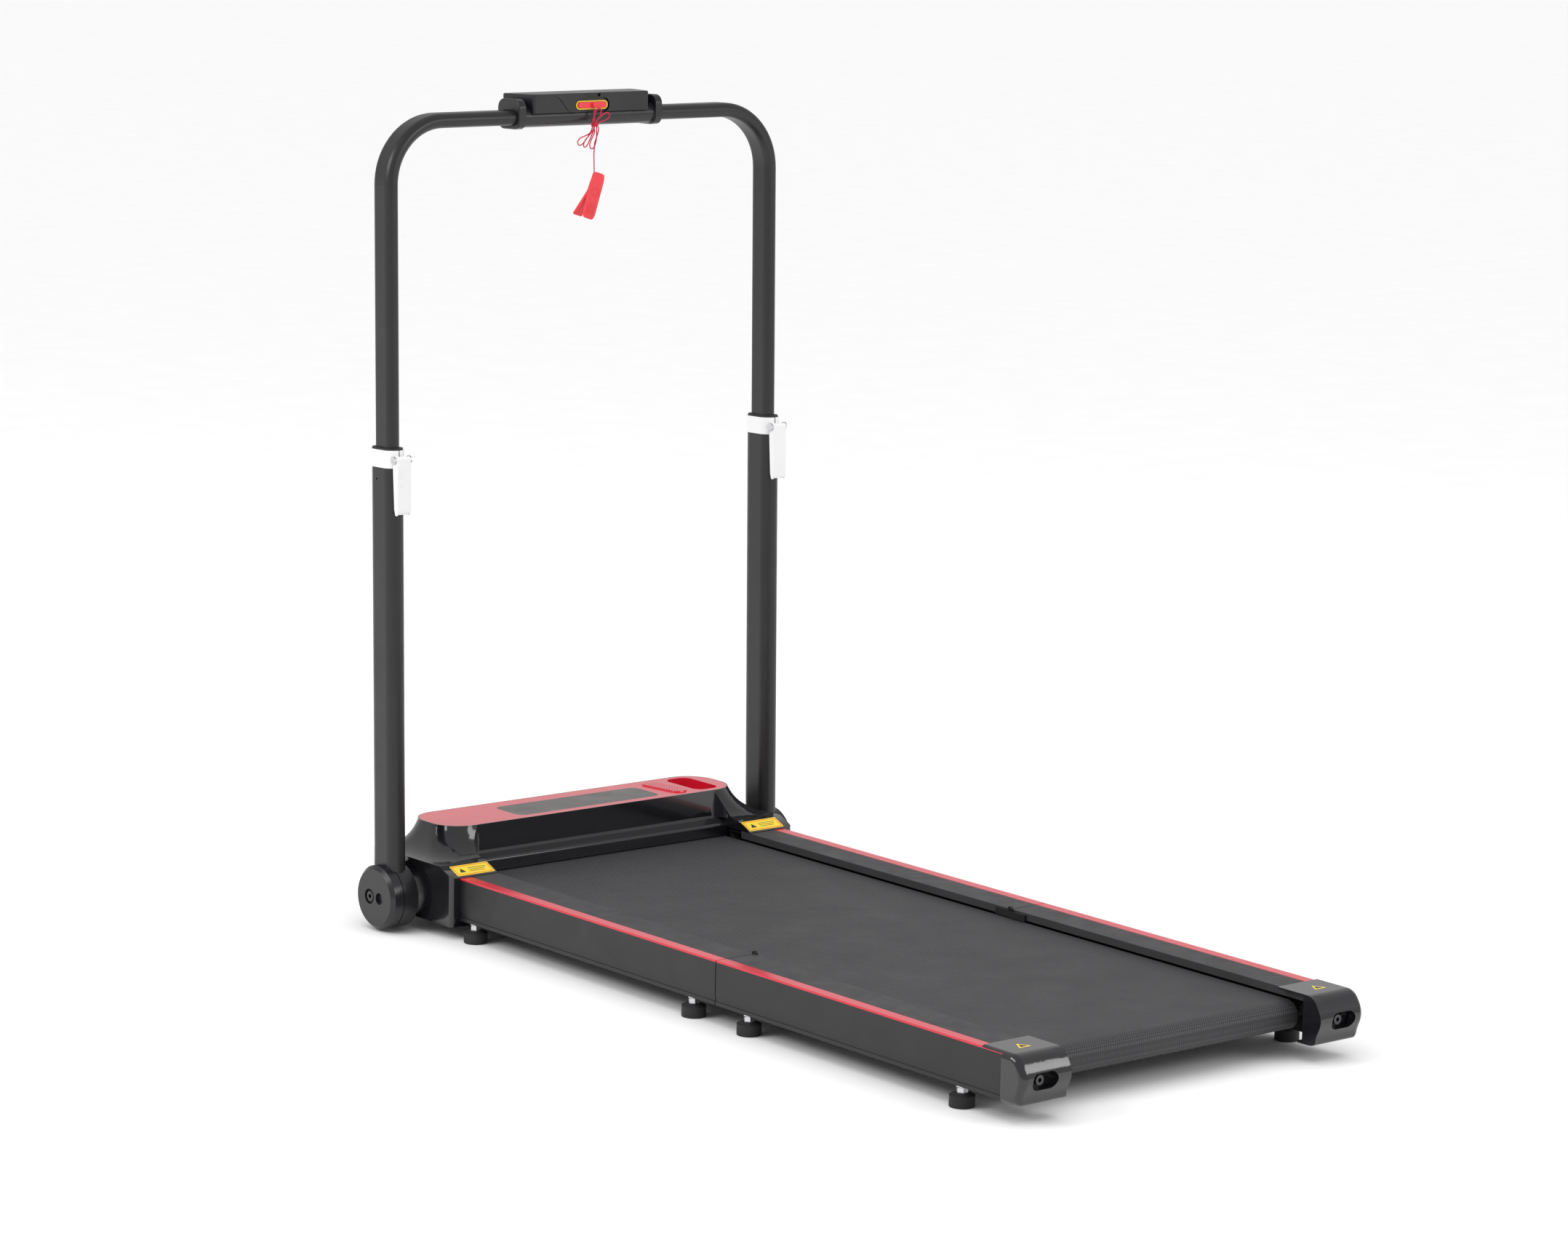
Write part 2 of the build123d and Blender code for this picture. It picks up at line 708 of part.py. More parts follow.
def hood_form(shrink):
    """Flared body of the hood, from the side covers up to its oval top."""
    base_depth = hood_front - base_back
    base_mid = (hood_front + base_back) / 2
    rise = hood_height - hood_base
    with BuildPart() as piece:
        with BuildSketch(Plane.XY.offset(hood_base)):
            with Locations((0, base_mid)):
                RectangleRounded(2 * (side_cover_outer - shrink), base_depth - 2 * shrink, 24.0 - shrink)
        with BuildSketch(Plane.XY.offset(hood_base + rise * 0.45)):
            with Locations((0, (base_mid * 0.35 + hood_mid * 0.65))):
                RectangleRounded(
                    hood_length + 0.28 * 2 * hood_spread - 2 * shrink,
                    hood_depth + 10.0 - 2 * shrink,
                    38.0 - shrink,
                )
        with BuildSketch(Plane.XY.offset(hood_height - shrink)):
            with Locations((0, hood_mid)):
                RectangleRounded(hood_length - 2 * shrink, hood_depth - 2 * shrink, hood_round - shrink)
        loft()
        # Between the side covers the back wall stands upright.
        with BuildSketch(Plane.XY.offset(hood_base - 1.0)):
            with Locations((0, wall_back + shrink - wall_clear / 2)):
                RectangleRounded(2 * (cover_inner_x + shrink), wall_clear, inner_round + shrink)
        extrude(amount=hood_height, mode=Mode.SUBTRACT)
    return piece.part


lip_y = fold_y + lip_back
lip_bottom = belt_top + 1.5
lip_outside = [
    (lip_y, lip_bottom),
    (lip_y, lip_height),
    (wall_back, cove_height),
    (wall_back, hood_base + 8.0),
]
lip_inside = [
    (wall_back, hood_base + 8.0),
    (wall_back + hood_shell, hood_base + 8.0),
    (wall_back + hood_shell, cove_height - 2.0),
    (lip_y + hood_shell, lip_height - 2.0),
    (lip_y + hood_shell, lip_bottom),
    (lip_y, lip_bottom),
]
panel_length = hood_length - 2 * panel_inset
panel_depth = hood_depth - 2 * panel_inset
with BuildPart() as hood_cover:
    add(hood_form(0.0))
    add(hood_form(hood_shell), mode=Mode.SUBTRACT)
    with BuildSketch(Plane.YZ.offset(-cover_inner_x)):
        with BuildLine():
            FilletPolyline(*lip_outside, radius=lip_round)
            Polyline(*lip_inside)
        make_face()
    extrude(amount=2 * cover_inner_x)
    # Front wall between the side covers.
    with Locations((0, hood_front, side_cover_bottom)):
        Box(
            2 * (cover_inner_x - fit),
            hood_shell,
            hood_base - side_cover_bottom + 0.5,
            align=(Align.CENTER, Align.MAX, Align.MIN),
        )
    # Seat for the coloured top panel.
    with BuildSketch(Plane.XY.offset(hood_height)):
        with Locations((0, hood_mid)):
            RectangleRounded(panel_length, panel_depth, hood_round - panel_inset)
    extrude(amount=-panel_thickness, mode=Mode.SUBTRACT)
    # Openings for the display's body and the hand hold.
    with BuildSketch(Plane.XY.offset(hood_height - panel_thickness)):
        with Locations((0, fold_y + display_centre)):
            Rectangle(display_length - 20.0, display_depth - 20.0)
        with Locations((grip_offset, hood_mid)):
            RectangleRounded(grip_width + 2 * fit, grip_depth + 2 * fit, grip_corner + fit)
    extrude(amount=-2 * hood_shell, mode=Mode.SUBTRACT)
    # Speaker holes under the grille.
    with BuildSketch(Plane.XY.offset(hood_height - panel_thickness)):
        with Locations((grille_offset, hood_mid)):
            SlotOverall(grille_depth - 16.0, grille_width - 8.0, rotation=90 + grille_slant)
    extrude(amount=-2 * hood_shell, mode=Mode.SUBTRACT)

with BuildPart() as hood_panel:
    with BuildSketch(Plane.XY.offset(hood_height)):
        with Locations((0, hood_mid)):
            RectangleRounded(panel_length, panel_depth, hood_round - panel_inset)
        with Locations((grip_offset, hood_mid)):
            RectangleRounded(grip_width, grip_depth, grip_corner, mode=Mode.SUBTRACT)
    extrude(amount=-panel_thickness)
    # Raised pad with the speaker holes.
    with BuildSketch(Plane.XY.offset(hood_height - panel_thickness)):
        with Locations((grille_offset, hood_mid)):
            SlotOverall(grille_depth, grille_width, rotation=90 + grille_slant)
    extrude(amount=panel_thickness + grille_rise, taper=20)
    with BuildSketch(Plane.XY.offset(hood_height + grille_rise)):
        with Locations(Location((grille_offset, hood_mid, 0), (0, 0, grille_slant))):
            with GridLocations(grille_pitch, grille_pitch, 4, 12):
                Circle(grille_hole)
    extrude(amount=-3 * panel_thickness, mode=Mode.SUBTRACT)
    with BuildSketch(Plane.XY.offset(hood_height)):
        with Locations((0, fold_y + display_centre)):
            RectangleRounded(display_length, display_depth, display_corner)
    extrude(amount=-lens_thickness, mode=Mode.SUBTRACT)
save(hood_panel, "hood_panel")

with BuildPart() as display_lens:
    with BuildSketch(Plane.XY.offset(hood_height)):
        with Locations((0, fold_y + display_centre)):
            RectangleRounded(display_length, display_depth, display_corner)
    extrude(amount=-lens_thickness)
save(display_lens, "display_lens")

# Cup under the hand hold, open at the top.
with BuildPart() as hand_grip:
    with BuildSketch(Plane.XY.offset(hood_height)):
        with Locations((grip_offset, hood_mid)):
            RectangleRounded(grip_width, grip_depth, grip_corner)
    extrude(amount=-grip_drop)
    with BuildSketch(Plane.XY.offset(hood_height)):
        with Locations((grip_offset, hood_mid)):
            RectangleRounded(
                grip_width - 2 * cover_shell,
                grip_depth - 2 * cover_shell,
                grip_corner - cover_shell,
            )
    extrude(amount=-(grip_drop - cover_shell), mode=Mode.SUBTRACT)
    fillet(hand_grip.edges().group_by(Axis.Z)[0], 4.0)
save(hand_grip, "hand_grip")

pan_top = side_cover_bottom + cover_shell
with BuildPart() as bottom_pan:
    with Locations((0, (wall_back + 16.0 + hood_front - hood_shell - fit) / 2, side_cover_bottom)):
        Box(
            2 * (cover_inner_x - fit),
            hood_front - hood_shell - fit - wall_back - 16.0,
            cover_shell,
            align=(Align.CENTER, Align.CENTER, Align.MIN),
        )
save(bottom_pan, "bottom_pan")

# ------------------------------------------------------------------ drive
motor_y = fold_y + motor_from_fold
with BuildPart() as motor:
    with BuildSketch(Plane.YZ.offset(motor_offset - motor_length / 2)):
        with Locations((motor_y, motor_height)):
            Circle(motor_radius)
    extrude(amount=motor_length)
    fillet(motor.edges().filter_by(GeomType.CIRCLE), 4.0)
    # Foot that stands on the pan.
    with Locations((motor_offset, motor_y, pan_top)):
        Box(
            motor_length - 50.0,
            30.0,
            motor_height - motor_radius - pan_top + 6.0,
            align=(Align.CENTER, Align.CENTER, Align.MIN),
        )
    with BuildSketch(Plane.YZ.offset(motor_offset - motor_length / 2)):
        with Locations((motor_y, motor_height)):
            Circle(axle_radius + 0.05)
    extrude(amount=motor_length, mode=Mode.SUBTRACT)
save(motor, "motor")

with BuildPart() as motor_shaft:
    with BuildSketch(Plane.YZ.offset(motor_offset - motor_length / 2 + 6.0)):
        with Locations((motor_y, motor_height)):
            Circle(axle_radius)
    extrude(amount=pulley_offset + pulley_width / 2 - motor_offset + motor_length / 2 - 6.0)
    with BuildSketch(Plane.YZ.offset(pulley_offset - pulley_width / 2)):
        with Locations((motor_y, motor_height)):
            Circle(motor_pulley_radius)
    extrude(amount=pulley_width)
save(motor_shaft, "motor_shaft")

belt_angle = math.atan2(motor_height - roller_z, motor_y - front_roller_y)
pulley_span = math.hypot(motor_height - roller_z, motor_y - front_roller_y)


def drive_loop(extra):
    """Outline round both pulleys, this far outside them."""
    big = pulley_radius + extra
    small = motor_pulley_radius + extra
    tilt = math.asin((big - small) / pulley_span)
    points = []
    for centre_y, centre_z, radius in (
        (front_roller_y, roller_z, big),
        (motor_y, motor_height, small),
    ):
        for sign in (1, -1):
            turn = belt_angle + sign * (math.pi / 2 - tilt)
            points.append((centre_y + radius * math.cos(turn), centre_z + radius * math.sin(turn)))
    back = (front_roller_y - big * math.cos(belt_angle), roller_z - big * math.sin(belt_angle))
    ahead = (motor_y + small * math.cos(belt_angle), motor_height + small * math.sin(belt_angle))
    return points, back, ahead


with BuildPart() as drive_belt:
    with BuildSketch(Plane.YZ.offset(pulley_offset - pulley_width / 2 + 1.0)):
        for extra, how in (
            (drive_belt_gap + drive_belt_thickness, Mode.ADD),
            (drive_belt_gap, Mode.SUBTRACT),
        ):
            corners, back_point, ahead_point = drive_loop(extra)
            with BuildLine():
                ThreePointArc(corners[1], back_point, corners[0])
                Line(corners[0], corners[2])
                ThreePointArc(corners[2], ahead_point, corners[3])
                Line(corners[3], corners[1])
            make_face(mode=how)
    extrude(amount=pulley_width - 2.0)
save(drive_belt, "drive_belt")

with BuildPart() as control_board:
    with Locations((-110.0, motor_y, pan_top)):
        Box(120.0, 60.0, 6.0, align=(Align.CENTER, Align.CENTER, Align.MIN))
    with Locations((-110.0, motor_y + 8.0, pan_top + 6.0)):
        Box(100.0, 34.0, 26.0, align=(Align.CENTER, Align.CENTER, Align.MIN))
save(control_board, "control_board")

# Mains inlet and rocker switch in the front wall.
inlet_x = -150.0
switch_x = -100.0
port_z = 52.0
with BuildPart() as hood_with_ports:
    add(hood_cover.part)
    with BuildSketch(across(hood_front + 1.0)):
        with Locations((inlet_x, port_z)):
            RectangleRounded(28.4, 21.4, 2.2)
        with Locations((switch_x, port_z)):
            Rectangle(22.4, 14.4)
    extrude(amount=hood_shell + 2.0, mode=Mode.SUBTRACT)
save(hood_with_ports, "hood_cover")

with BuildPart() as mains_inlet:
    with BuildSketch(across(hood_front + 1.5)):
        with Locations((inlet_x, port_z)):
            RectangleRounded(34.0, 30.0, 3.0)
    extrude(amount=1.5)
    with BuildSketch(across(hood_front)):
        with Locations((inlet_x, port_z)):
            RectangleRounded(28.0, 21.0, 2.0)
    extrude(amount=16.0)
    with BuildSketch(across(hood_front + 1.5)):
        with Locations((inlet_x, port_z)):
            RectangleRounded(24.0, 17.0, 2.0)
    extrude(amount=14.0, mode=Mode.SUBTRACT)
    with BuildSketch(across(hood_front - 13.0)):
        with Locations((inlet_x, port_z + 2.5), (inlet_x - 6.0, port_z - 2.5), (inlet_x + 6.0, port_z - 2.5)):
            Rectangle(2.0, 5.0)
    extrude(amount=-10.0)

switch_pin = 1.5
with BuildPart() as switch_frame:
    with BuildSketch(across(hood_front + 1.5)):
        with Locations((switch_x, port_z)):
            Rectangle(25.0, 17.0)
    extrude(amount=1.5)
    with BuildSketch(across(hood_front)):
        with Locations((switch_x, port_z)):
            Rectangle(22.0, 14.0)
    extrude(amount=16.0)
    with BuildSketch(across(hood_front + 1.5)):
        with Locations((switch_x, port_z)):
            Rectangle(20.0, 11.0)
    extrude(amount=14.5, mode=Mode.SUBTRACT)
    with Locations((switch_x, hood_front - 4.0, port_z)):
        Cylinder(switch_pin, 12.0)
save_pair([mains_inlet, switch_frame], "power_ports")

with BuildPart() as power_switch:
    with BuildSketch(Plane.XY.offset(port_z - 5.0)):
        with Locations((switch_x, hood_front - 4.0)):
            Circle(4.5)
        with BuildLine():
            Polyline(
                (switch_x - 8.3, hood_front + port_proud),
                (switch_x, hood_front + 0.2),
                (switch_x + 8.3, hood_front - 0.8),
                (switch_x + 4.0, hood_front - 6.0),
                (switch_x - 4.0, hood_front - 6.0),
                close=True,
            )
        make_face()
        with Locations((switch_x, hood_front - 4.0)):
            Circle(switch_pin + 0.05, mode=Mode.SUBTRACT)
    extrude(amount=10.0)
save(power_switch, "power_switch")

# ------------------------------------------------------------------ handle pivots
rim_base = collar_top - 2.0


def flat(side, x):
    """Side view plane of the mast at this distance out from the middle."""
    return mast_side.offset(side * x)


def at_side(side, up):
    """Plane across an upright at this height up the mast."""
    return Plane(origin=mast.from_local_coords((side * upright_x, 0, up)), x_dir=(1, 0, 0), z_dir=mast.z_dir)


pivot_shafts = []
pivot_hubs = []
pivot_covers = []
lower_tubes = []
for _, side in SIDES:
    # Fixed shaft with the spacer that the hub turns against.
    with BuildPart() as pivot_shaft:
        with BuildSketch(flat(side, rail_inner + rail_wall + 0.5)):
            Circle(shaft_radius)
        extrude(amount=side * (hub_split + shaft_past_split - rail_inner - rail_wall - 0.5))
        with BuildSketch(flat(side, side_cover_outer)):
            Circle(boss_radius)
        extrude(amount=side * (hub_inner - fit - side_cover_outer))
    pivot_shafts.append(pivot_shaft)

    # Inner half of the hub, with the tube's seat.
    with BuildPart() as pivot_hub:
        with BuildSketch(flat(side, hub_inner)):
            Circle(hub_radius)
        extrude(amount=side * (hub_split - hub_inner))
        with BuildSketch(flat(side, hub_inner)):
            Circle(shaft_radius + shaft_fit)
        extrude(amount=side * (hub_split - hub_inner), mode=Mode.SUBTRACT)
        with BuildSketch(at_side(side, tube_seat)):
            SlotOverall(lower_depth, lower_width, rotation=90)
        extrude(amount=2 * hub_radius, mode=Mode.SUBTRACT)
    pivot_hubs.append(pivot_hub)

    # Outer cover with its two recesses.
    with BuildPart() as pivot_cover:
        with BuildSketch(flat(side, hub_split)):
            Circle(hub_radius)
        extrude(amount=side * (hub_outer - hub_split))
        rim = pivot_cover.edges().filter_by(GeomType.CIRCLE)
        chamfer(rim.filter_by(lambda e: abs(e.center().X) > hub_outer - 0.5), hub_chamfer)
        # Groove where the cover meets the hub.
        with BuildSketch(flat(side, hub_split)):
            Circle(hub_radius + 1.0)
            Circle(hub_radius - 1.0, mode=Mode.SUBTRACT)
        extrude(amount=side * 1.2, mode=Mode.SUBTRACT)
        with BuildSketch(flat(side, hub_outer)):
            with Locations((recess_offset, 0)):
                Circle(screw_recess_radius)
            with Locations((-recess_offset, 0)):
                Circle(lock_recess_radius)
        extrude(amount=side * -4.5, mode=Mode.SUBTRACT)
        with BuildSketch(flat(side, hub_split)):
            Circle(shaft_radius + 1.0)
        extrude(amount=side * (shaft_past_split + 0.5), mode=Mode.SUBTRACT)
        with BuildSketch(at_side(side, tube_seat)):
            SlotOverall(lower_depth, lower_width, rotation=90)
        extrude(amount=2 * hub_radius, mode=Mode.SUBTRACT)
    pivot_covers.append(pivot_cover)

    # Lower tube.
    with BuildPart() as lower_tube:
        with BuildSketch(at_side(side, tube_seat)):
            SlotOverall(lower_depth, lower_width, rotation=90)
            SlotOverall(
                lower_depth - 2 * lower_wall,
                lower_width - 2 * lower_wall,
                rotation=90,
                mode=Mode.SUBTRACT,
            )
        extrude(amount=collar_top - 2.0 - tube_seat)
        with BuildSketch(flat(side, upright_x)):
            with Locations((6.0, collar_bottom - 16.0)):
                Circle(1.5)
        extrude(amount=side * lower_width, mode=Mode.SUBTRACT)
    lower_tubes.append(lower_tube)
save_pair(pivot_shafts, "pivot_shafts")
save_pair(pivot_hubs, "pivot_hubs")
save_pair(pivot_covers, "pivot_covers")
save_pair(lower_tubes, "lower_tubes")

with BuildPart() as pivot_screws:
    for _, side in SIDES:
        with BuildSketch(mast_side.offset(side * (hub_outer - 4.5))):
            with Locations((recess_offset, 0)):
                Circle(7.0)
                RegularPolygon(3.4, 6, mode=Mode.SUBTRACT)
        extrude(amount=side * 3.5)
save(pivot_screws, "pivot_screws")

# ------------------------------------------------------------------ clamps
clamp_collars = []
bushings = []
pinch_screws = []
for word, side in SIDES:
    with BuildPart() as clamp_collar:
        with BuildSketch(at_side(side, collar_bottom)):
            outer_depth = lower_depth + 2 * (collar_fit + collar_wall)
            outer_width = lower_width + 2 * (collar_fit + collar_wall)
            SlotOverall(outer_depth, outer_width, rotation=90)
        extrude(amount=collar_height)
        # Lug for the pinch screw.
        with BuildSketch(mast_side.offset(side * upright_x - 8.7)):
            with Locations((-lever_pivot_back, lever_pivot_height)):
                Circle(4.3)
            with Locations((-lever_pivot_back + 5.0, lever_pivot_height)):
                Rectangle(10.0, 8.6)
        extrude(amount=17.4)
        with BuildSketch(at_side(side, collar_bottom)):
            SlotOverall(lower_depth + 2 * collar_fit, lower_width + 2 * collar_fit, rotation=90)
        extrude(amount=collar_height, mode=Mode.SUBTRACT)
        # Slit that closes when the lever is pressed home.
        with Locations(mast):
            with Locations((side * upright_x, -lever_pivot_back, collar_bottom + collar_height / 2)):
                Box(1.6, 24.0, collar_height + 1.0, mode=Mode.SUBTRACT)
            with Locations((side * upright_x, -lever_pivot_back, lever_pivot_height)):
                Cylinder(pinch_radius, 30.0, rotation=(0, 90, 0), mode=Mode.SUBTRACT)
    clamp_collars.append(clamp_collar)

    with BuildPart() as bushing:
        with BuildSketch(at_side(side, rim_base + 4.5 - bushing_length)):
            inner_depth = lower_depth - 2 * lower_wall - 0.1
            SlotOverall(inner_depth, lower_width - 2 * lower_wall - 0.1, rotation=90)
        extrude(amount=bushing_length)
        with BuildSketch(at_side(side, rim_base)):
            SlotOverall(lower_depth - 0.4, lower_width - 0.4, rotation=90)
        extrude(amount=4.5)
        with BuildSketch(at_side(side, rim_base + 4.5 - bushing_length)):
            SlotOverall(upper_depth + 2 * slide_fit, upper_width + 2 * slide_fit, rotation=90)
        extrude(amount=bushing_length, mode=Mode.SUBTRACT)
    bushings.append(bushing)

    with BuildPart() as clamp_lever:
        with BuildSketch(mast_side.offset(side * upright_x - 11.0)):
            with BuildLine():
                Polyline(
                    (-lever_pivot_back - 6.9, lever_pivot_height + 2.5),
                    (-lever_pivot_back - 6.9, lever_bottom + 6.0),
                    (-lever_pivot_back - 4.5, lever_bottom),
                    (-lever_pivot_back - 1.0, lever_bottom),
                    (-lever_pivot_back + 1.5, lever_bottom + 8.0),
                    (-lever_pivot_back + 4.0, lever_pivot_height - 14.0),
                    (-lever_pivot_back + 4.3, lever_pivot_height),
                    (-lever_pivot_back + 2.5, lever_pivot_height + 3.5),
                    (-lever_pivot_back - 4.0, lever_pivot_height + 4.5),
                    close=True,
                )
            make_face()
        extrude(amount=22.0)
        with BuildSketch(mast_side.offset(side * upright_x - 9.0)):
            with Locations((-lever_pivot_back + 13.0 - 4.9, (lever_pivot_height + lever_bottom) / 2)):
                Rectangle(26.0, lever_pivot_height - lever_bottom + 12.0)
        extrude(amount=18.0, mode=Mode.SUBTRACT)
        with BuildSketch(mast_side.offset(side * upright_x - 11.0)):
            with Locations((-lever_pivot_back, lever_pivot_height)):
                Circle(pinch_radius + 0.05)
        extrude(amount=22.0, mode=Mode.SUBTRACT)
    save(clamp_lever, f"clamp_lever_{word}")

    with BuildPart() as pinch_screw:
        with BuildSketch(mast_side.offset(side * upright_x - 11.3)):
            with Locations((-lever_pivot_back, lever_pivot_height)):
                Circle(pinch_radius)
        extrude(amount=22.6)
        for start in (-11.3 - pinch_head_height, 11.3):
            with BuildSketch(mast_side.offset(side * upright_x + start)):
                with Locations((-lever_pivot_back, lever_pivot_height)):
                    Circle(pinch_head_radius)
            extrude(amount=pinch_head_height)
    pinch_screws.append(pinch_screw)
save_pair(clamp_collars, "clamp_collars")
save_pair(bushings, "bushings")
save_pair(pinch_screws, "pinch_screws")

# ------------------------------------------------------------------ upper tube
leg_start = rim_base - tube_overlap
with BuildPart() as upper_tube:
    with BuildLine(mast_front):
        FilletPolyline(
            (-upright_x, leg_start),
            (-upright_x, handle_height),
            (upright_x, handle_height),
            (upright_x, leg_start),
            radius=bend_radius,
        )
    with BuildSketch(at_side(-1, leg_start)):
        SlotOverall(upper_depth, upper_width, rotation=90)
        SlotOverall(
            upper_depth - 2 * upper_wall,
            upper_width - 2 * upper_wall,
            rotation=90,
            mode=Mode.SUBTRACT,
        )
    sweep()
save(upper_tube, "upper_tube")

# ------------------------------------------------------------------ console
console_mid = (console_back - console_front) / 2
bar_grip_y = upper_depth + 2 * tube_grip_fit
bar_grip_z = upper_width + 2 * tube_grip_fit


def bar_section(x):
    """Plane across the crossbar, its X forward and its Y up the mast, facing the walker's right."""
    return mast_side.offset(x)


saddle_y = bar_grip_y + 4.0
saddle_up = 3.5
collar_over_saddle = 6.0
collar_rise = 14.0
with BuildPart() as saddle:
    with BuildSketch(bar_section(-saddle_length / 2)):
        with Locations((0, handle_height)):
            SlotOverall(saddle_y, bar_grip_z + 2 * saddle_up)
    extrude(amount=saddle_length)
    for start in (-saddle_length / 2, saddle_length / 2 - saddle_end_length):
        with BuildSketch(bar_section(start)):
            with Locations((0, handle_height + collar_rise / 2 - 2.0)):
                RectangleRounded(
                    saddle_y + collar_over_saddle,
                    bar_grip_z + 2 * saddle_up + collar_rise,
                    13.0,
                )
        extrude(amount=saddle_end_length)
    rims = saddle.edges().filter_by(lambda e: abs(e.center().X) > saddle_length / 2 - 0.1)
    fillet(rims, 2.0)
    with BuildSketch(bar_section(-saddle_length / 2)):
        with Locations((0, handle_height)):
            SlotOverall(bar_grip_y, bar_grip_z)
    extrude(amount=saddle_length, mode=Mode.SUBTRACT)
save(saddle, "handle_saddle")


def console_level(up):
    """Plane across the mast at this height, its X to the walker's right and its Y forward."""
    return Plane(origin=mast.from_local_coords((0, 0, up)), x_dir=(1, 0, 0), z_dir=mast.z_dir)


# Plan of the console: wider at the back than across its face.
console_plan = [
    (-console_length / 2, -console_front),
    (console_length / 2, -console_front),
    (console_back_length / 2, console_back),
    (-console_back_length / 2, console_back),
]
seam = console_top - console_lid
relief_top = console_length / 3
relief_foot = console_length / 6
with BuildPart() as console_body:
    with BuildSketch(console_level(console_bottom)):
        with BuildLine():
            Polyline(*console_plan, close=True)
        make_face()
    extrude(amount=seam - console_bottom)
    fillet(console_body.edges().filter_by(Axis((0, 0, 0), mast.z_dir)), 7.0)
    # The face stands back on both sides of its middle.
    for _, side in SIDES:
        with BuildSketch(mast_front.offset(console_front)):
            with BuildLine():
                Polyline(
                    (side * relief_foot, console_bottom),
                    (side * (console_length / 2 + 1.0), console_bottom),
                    (side * (console_length / 2 + 1.0), seam),
                    (side * relief_top, seam),
                )
                Bezier(
                    (side * relief_top, seam),
                    (side * (relief_foot + 14.0), seam - 3.0),
                    (side * (relief_foot + 16.0), console_bottom + 1.0),
                    (side * relief_foot, console_bottom),
                )
            make_face()
        extrude(amount=-face_relief, mode=Mode.SUBTRACT)
    # Passage for the saddle.
    with BuildSketch(bar_section(-console_back_length / 2)):
        with Locations((0, handle_height)):
            SlotOverall(saddle_y, bar_grip_z + 2 * saddle_up)
    extrude(amount=console_back_length, mode=Mode.SUBTRACT)
    # Room for the board, open at the top.
    with Locations(mast):
        with Locations((0, console_mid + 2.5, seam)):
            Box(
                console_length - 2 * console_wall,
                console_front + console_back - 12.0,
                11.0,
                align=(Align.CENTER, Align.CENTER, Align.MAX),
                mode=Mode.SUBTRACT,
            )
    # Recess round the key.
    with BuildSketch(mast_front.offset(console_front)):
        with Locations((0, console_bottom + socket_rise)):
            SlotOverall(socket_length, socket_height)
    extrude(amount=-socket_depth, mode=Mode.SUBTRACT)
    # Notch in the top edge of the face.
    with BuildSketch(mast_front.offset(console_front)):
        with Locations((0, seam - 1.0)):
            Trapezoid(notch_length, 3.0, 60.0, rotation=180)
    extrude(amount=-3.0, mode=Mode.SUBTRACT)
save(console_body, "console_body")

with BuildPart() as console_lid_plate:
    with BuildSketch(console_level(seam)):
        with BuildLine():
            Polyline(*console_plan, close=True)
        make_face()
    extrude(amount=console_lid)
    fillet(console_lid_plate.edges().filter_by(Axis((0, 0, 0), mast.z_dir)), 7.0)
    lid_rim = console_lid_plate.edges().group_by(Axis((0, 0, 0), mast.z_dir))[-1]
    chamfer(lid_rim, 1.2)
    with BuildSketch(mast_front.offset(console_front)):
        with Locations((0, seam + 0.5)):
            Trapezoid(notch_length, 3.0, 60.0, rotation=180)
    extrude(amount=-3.0, mode=Mode.SUBTRACT)
save(console_lid_plate, "console_lid")

ring_z = console_bottom + socket_rise
ring_plane = mast_front.offset(console_front - socket_depth)
with BuildPart() as key_socket:
    with BuildSketch(ring_plane):
        with Locations((0, ring_z)):
            SlotOverall(ring_length, ring_height)
    extrude(amount=2.0)
    with BuildSketch(ring_plane.offset(2.0)):
        with Locations((0, ring_z)):
            SlotOverall(ring_length - 2 * ring_wall, ring_height - 2 * ring_wall)
    extrude(amount=-1.5, mode=Mode.SUBTRACT)
save(key_socket, "key_socket")

# ------------------------------------------------------------------ safety key
key_plane = ring_plane.offset(0.5)
key_face = console_front - socket_depth + 0.5 + key_depth
eye_y = -(key_face + key_eye_radius - 1.2)
with BuildPart() as safety_key:
    with BuildSketch(key_plane):
        with Locations((0, ring_z)):
            SlotOverall(key_length, key_height)
    extrude(amount=key_depth)
    face_rim = safety_key.edges().filter_by(lambda e: mast.to_local_coords(e.center()).Y < 0.1 - key_face)
    fillet(face_rim, 0.8)
    with BuildSketch(mast_side.offset(-1.5)):
        with Locations((eye_y, ring_z)):
            Circle(key_eye_radius)
            Circle(key_eye_hole, mode=Mode.SUBTRACT)
    extrude(amount=3.0)
save(safety_key, "safety_key")

# ------------------------------------------------------------------ key cord
cord_radius = 0.8


def in_mast(points):
    """Points given in the mast's own frame, as points of the whole machine."""
    return [tuple(mast.from_local_coords(point)) for point in points]


def cord_radii(points):
    """Bend radius at each inner point: 0.45 of the shorter run over tan(half the turn)."""
    radii = []
    for before, here, after in zip(points, points[1:], points[2:]):
        first = Vector(*here) - Vector(*before)
        second = Vector(*after) - Vector(*here)
        turn = math.radians(first.get_angle(second))
        shorter = min(first.length, second.length)
        radii.append(0.45 * shorter / math.tan(turn / 2))
    return radii


def cord(points):
    """Round cord along these points."""
    radii = cord_radii(points)
    print("cord radii", [round(radius, 1) for radius in radii])
    with BuildPart() as piece:
        with BuildLine() as route:
            FilletPolyline(*points, radius=radii)
        start = route.line @ 0
        heading = route.line % 0
        with BuildSketch(Plane(origin=start, z_dir=heading)):
            Circle(cord_radius)
        sweep()
    length = sum(edge.length for edge in route.edges())
    by_length = length * math.pi * cord_radius**2
    print("cord volume", round(piece.part.volume, 1), "by length", round(by_length, 1))
    print("cord length", round(length, 1))
    return piece


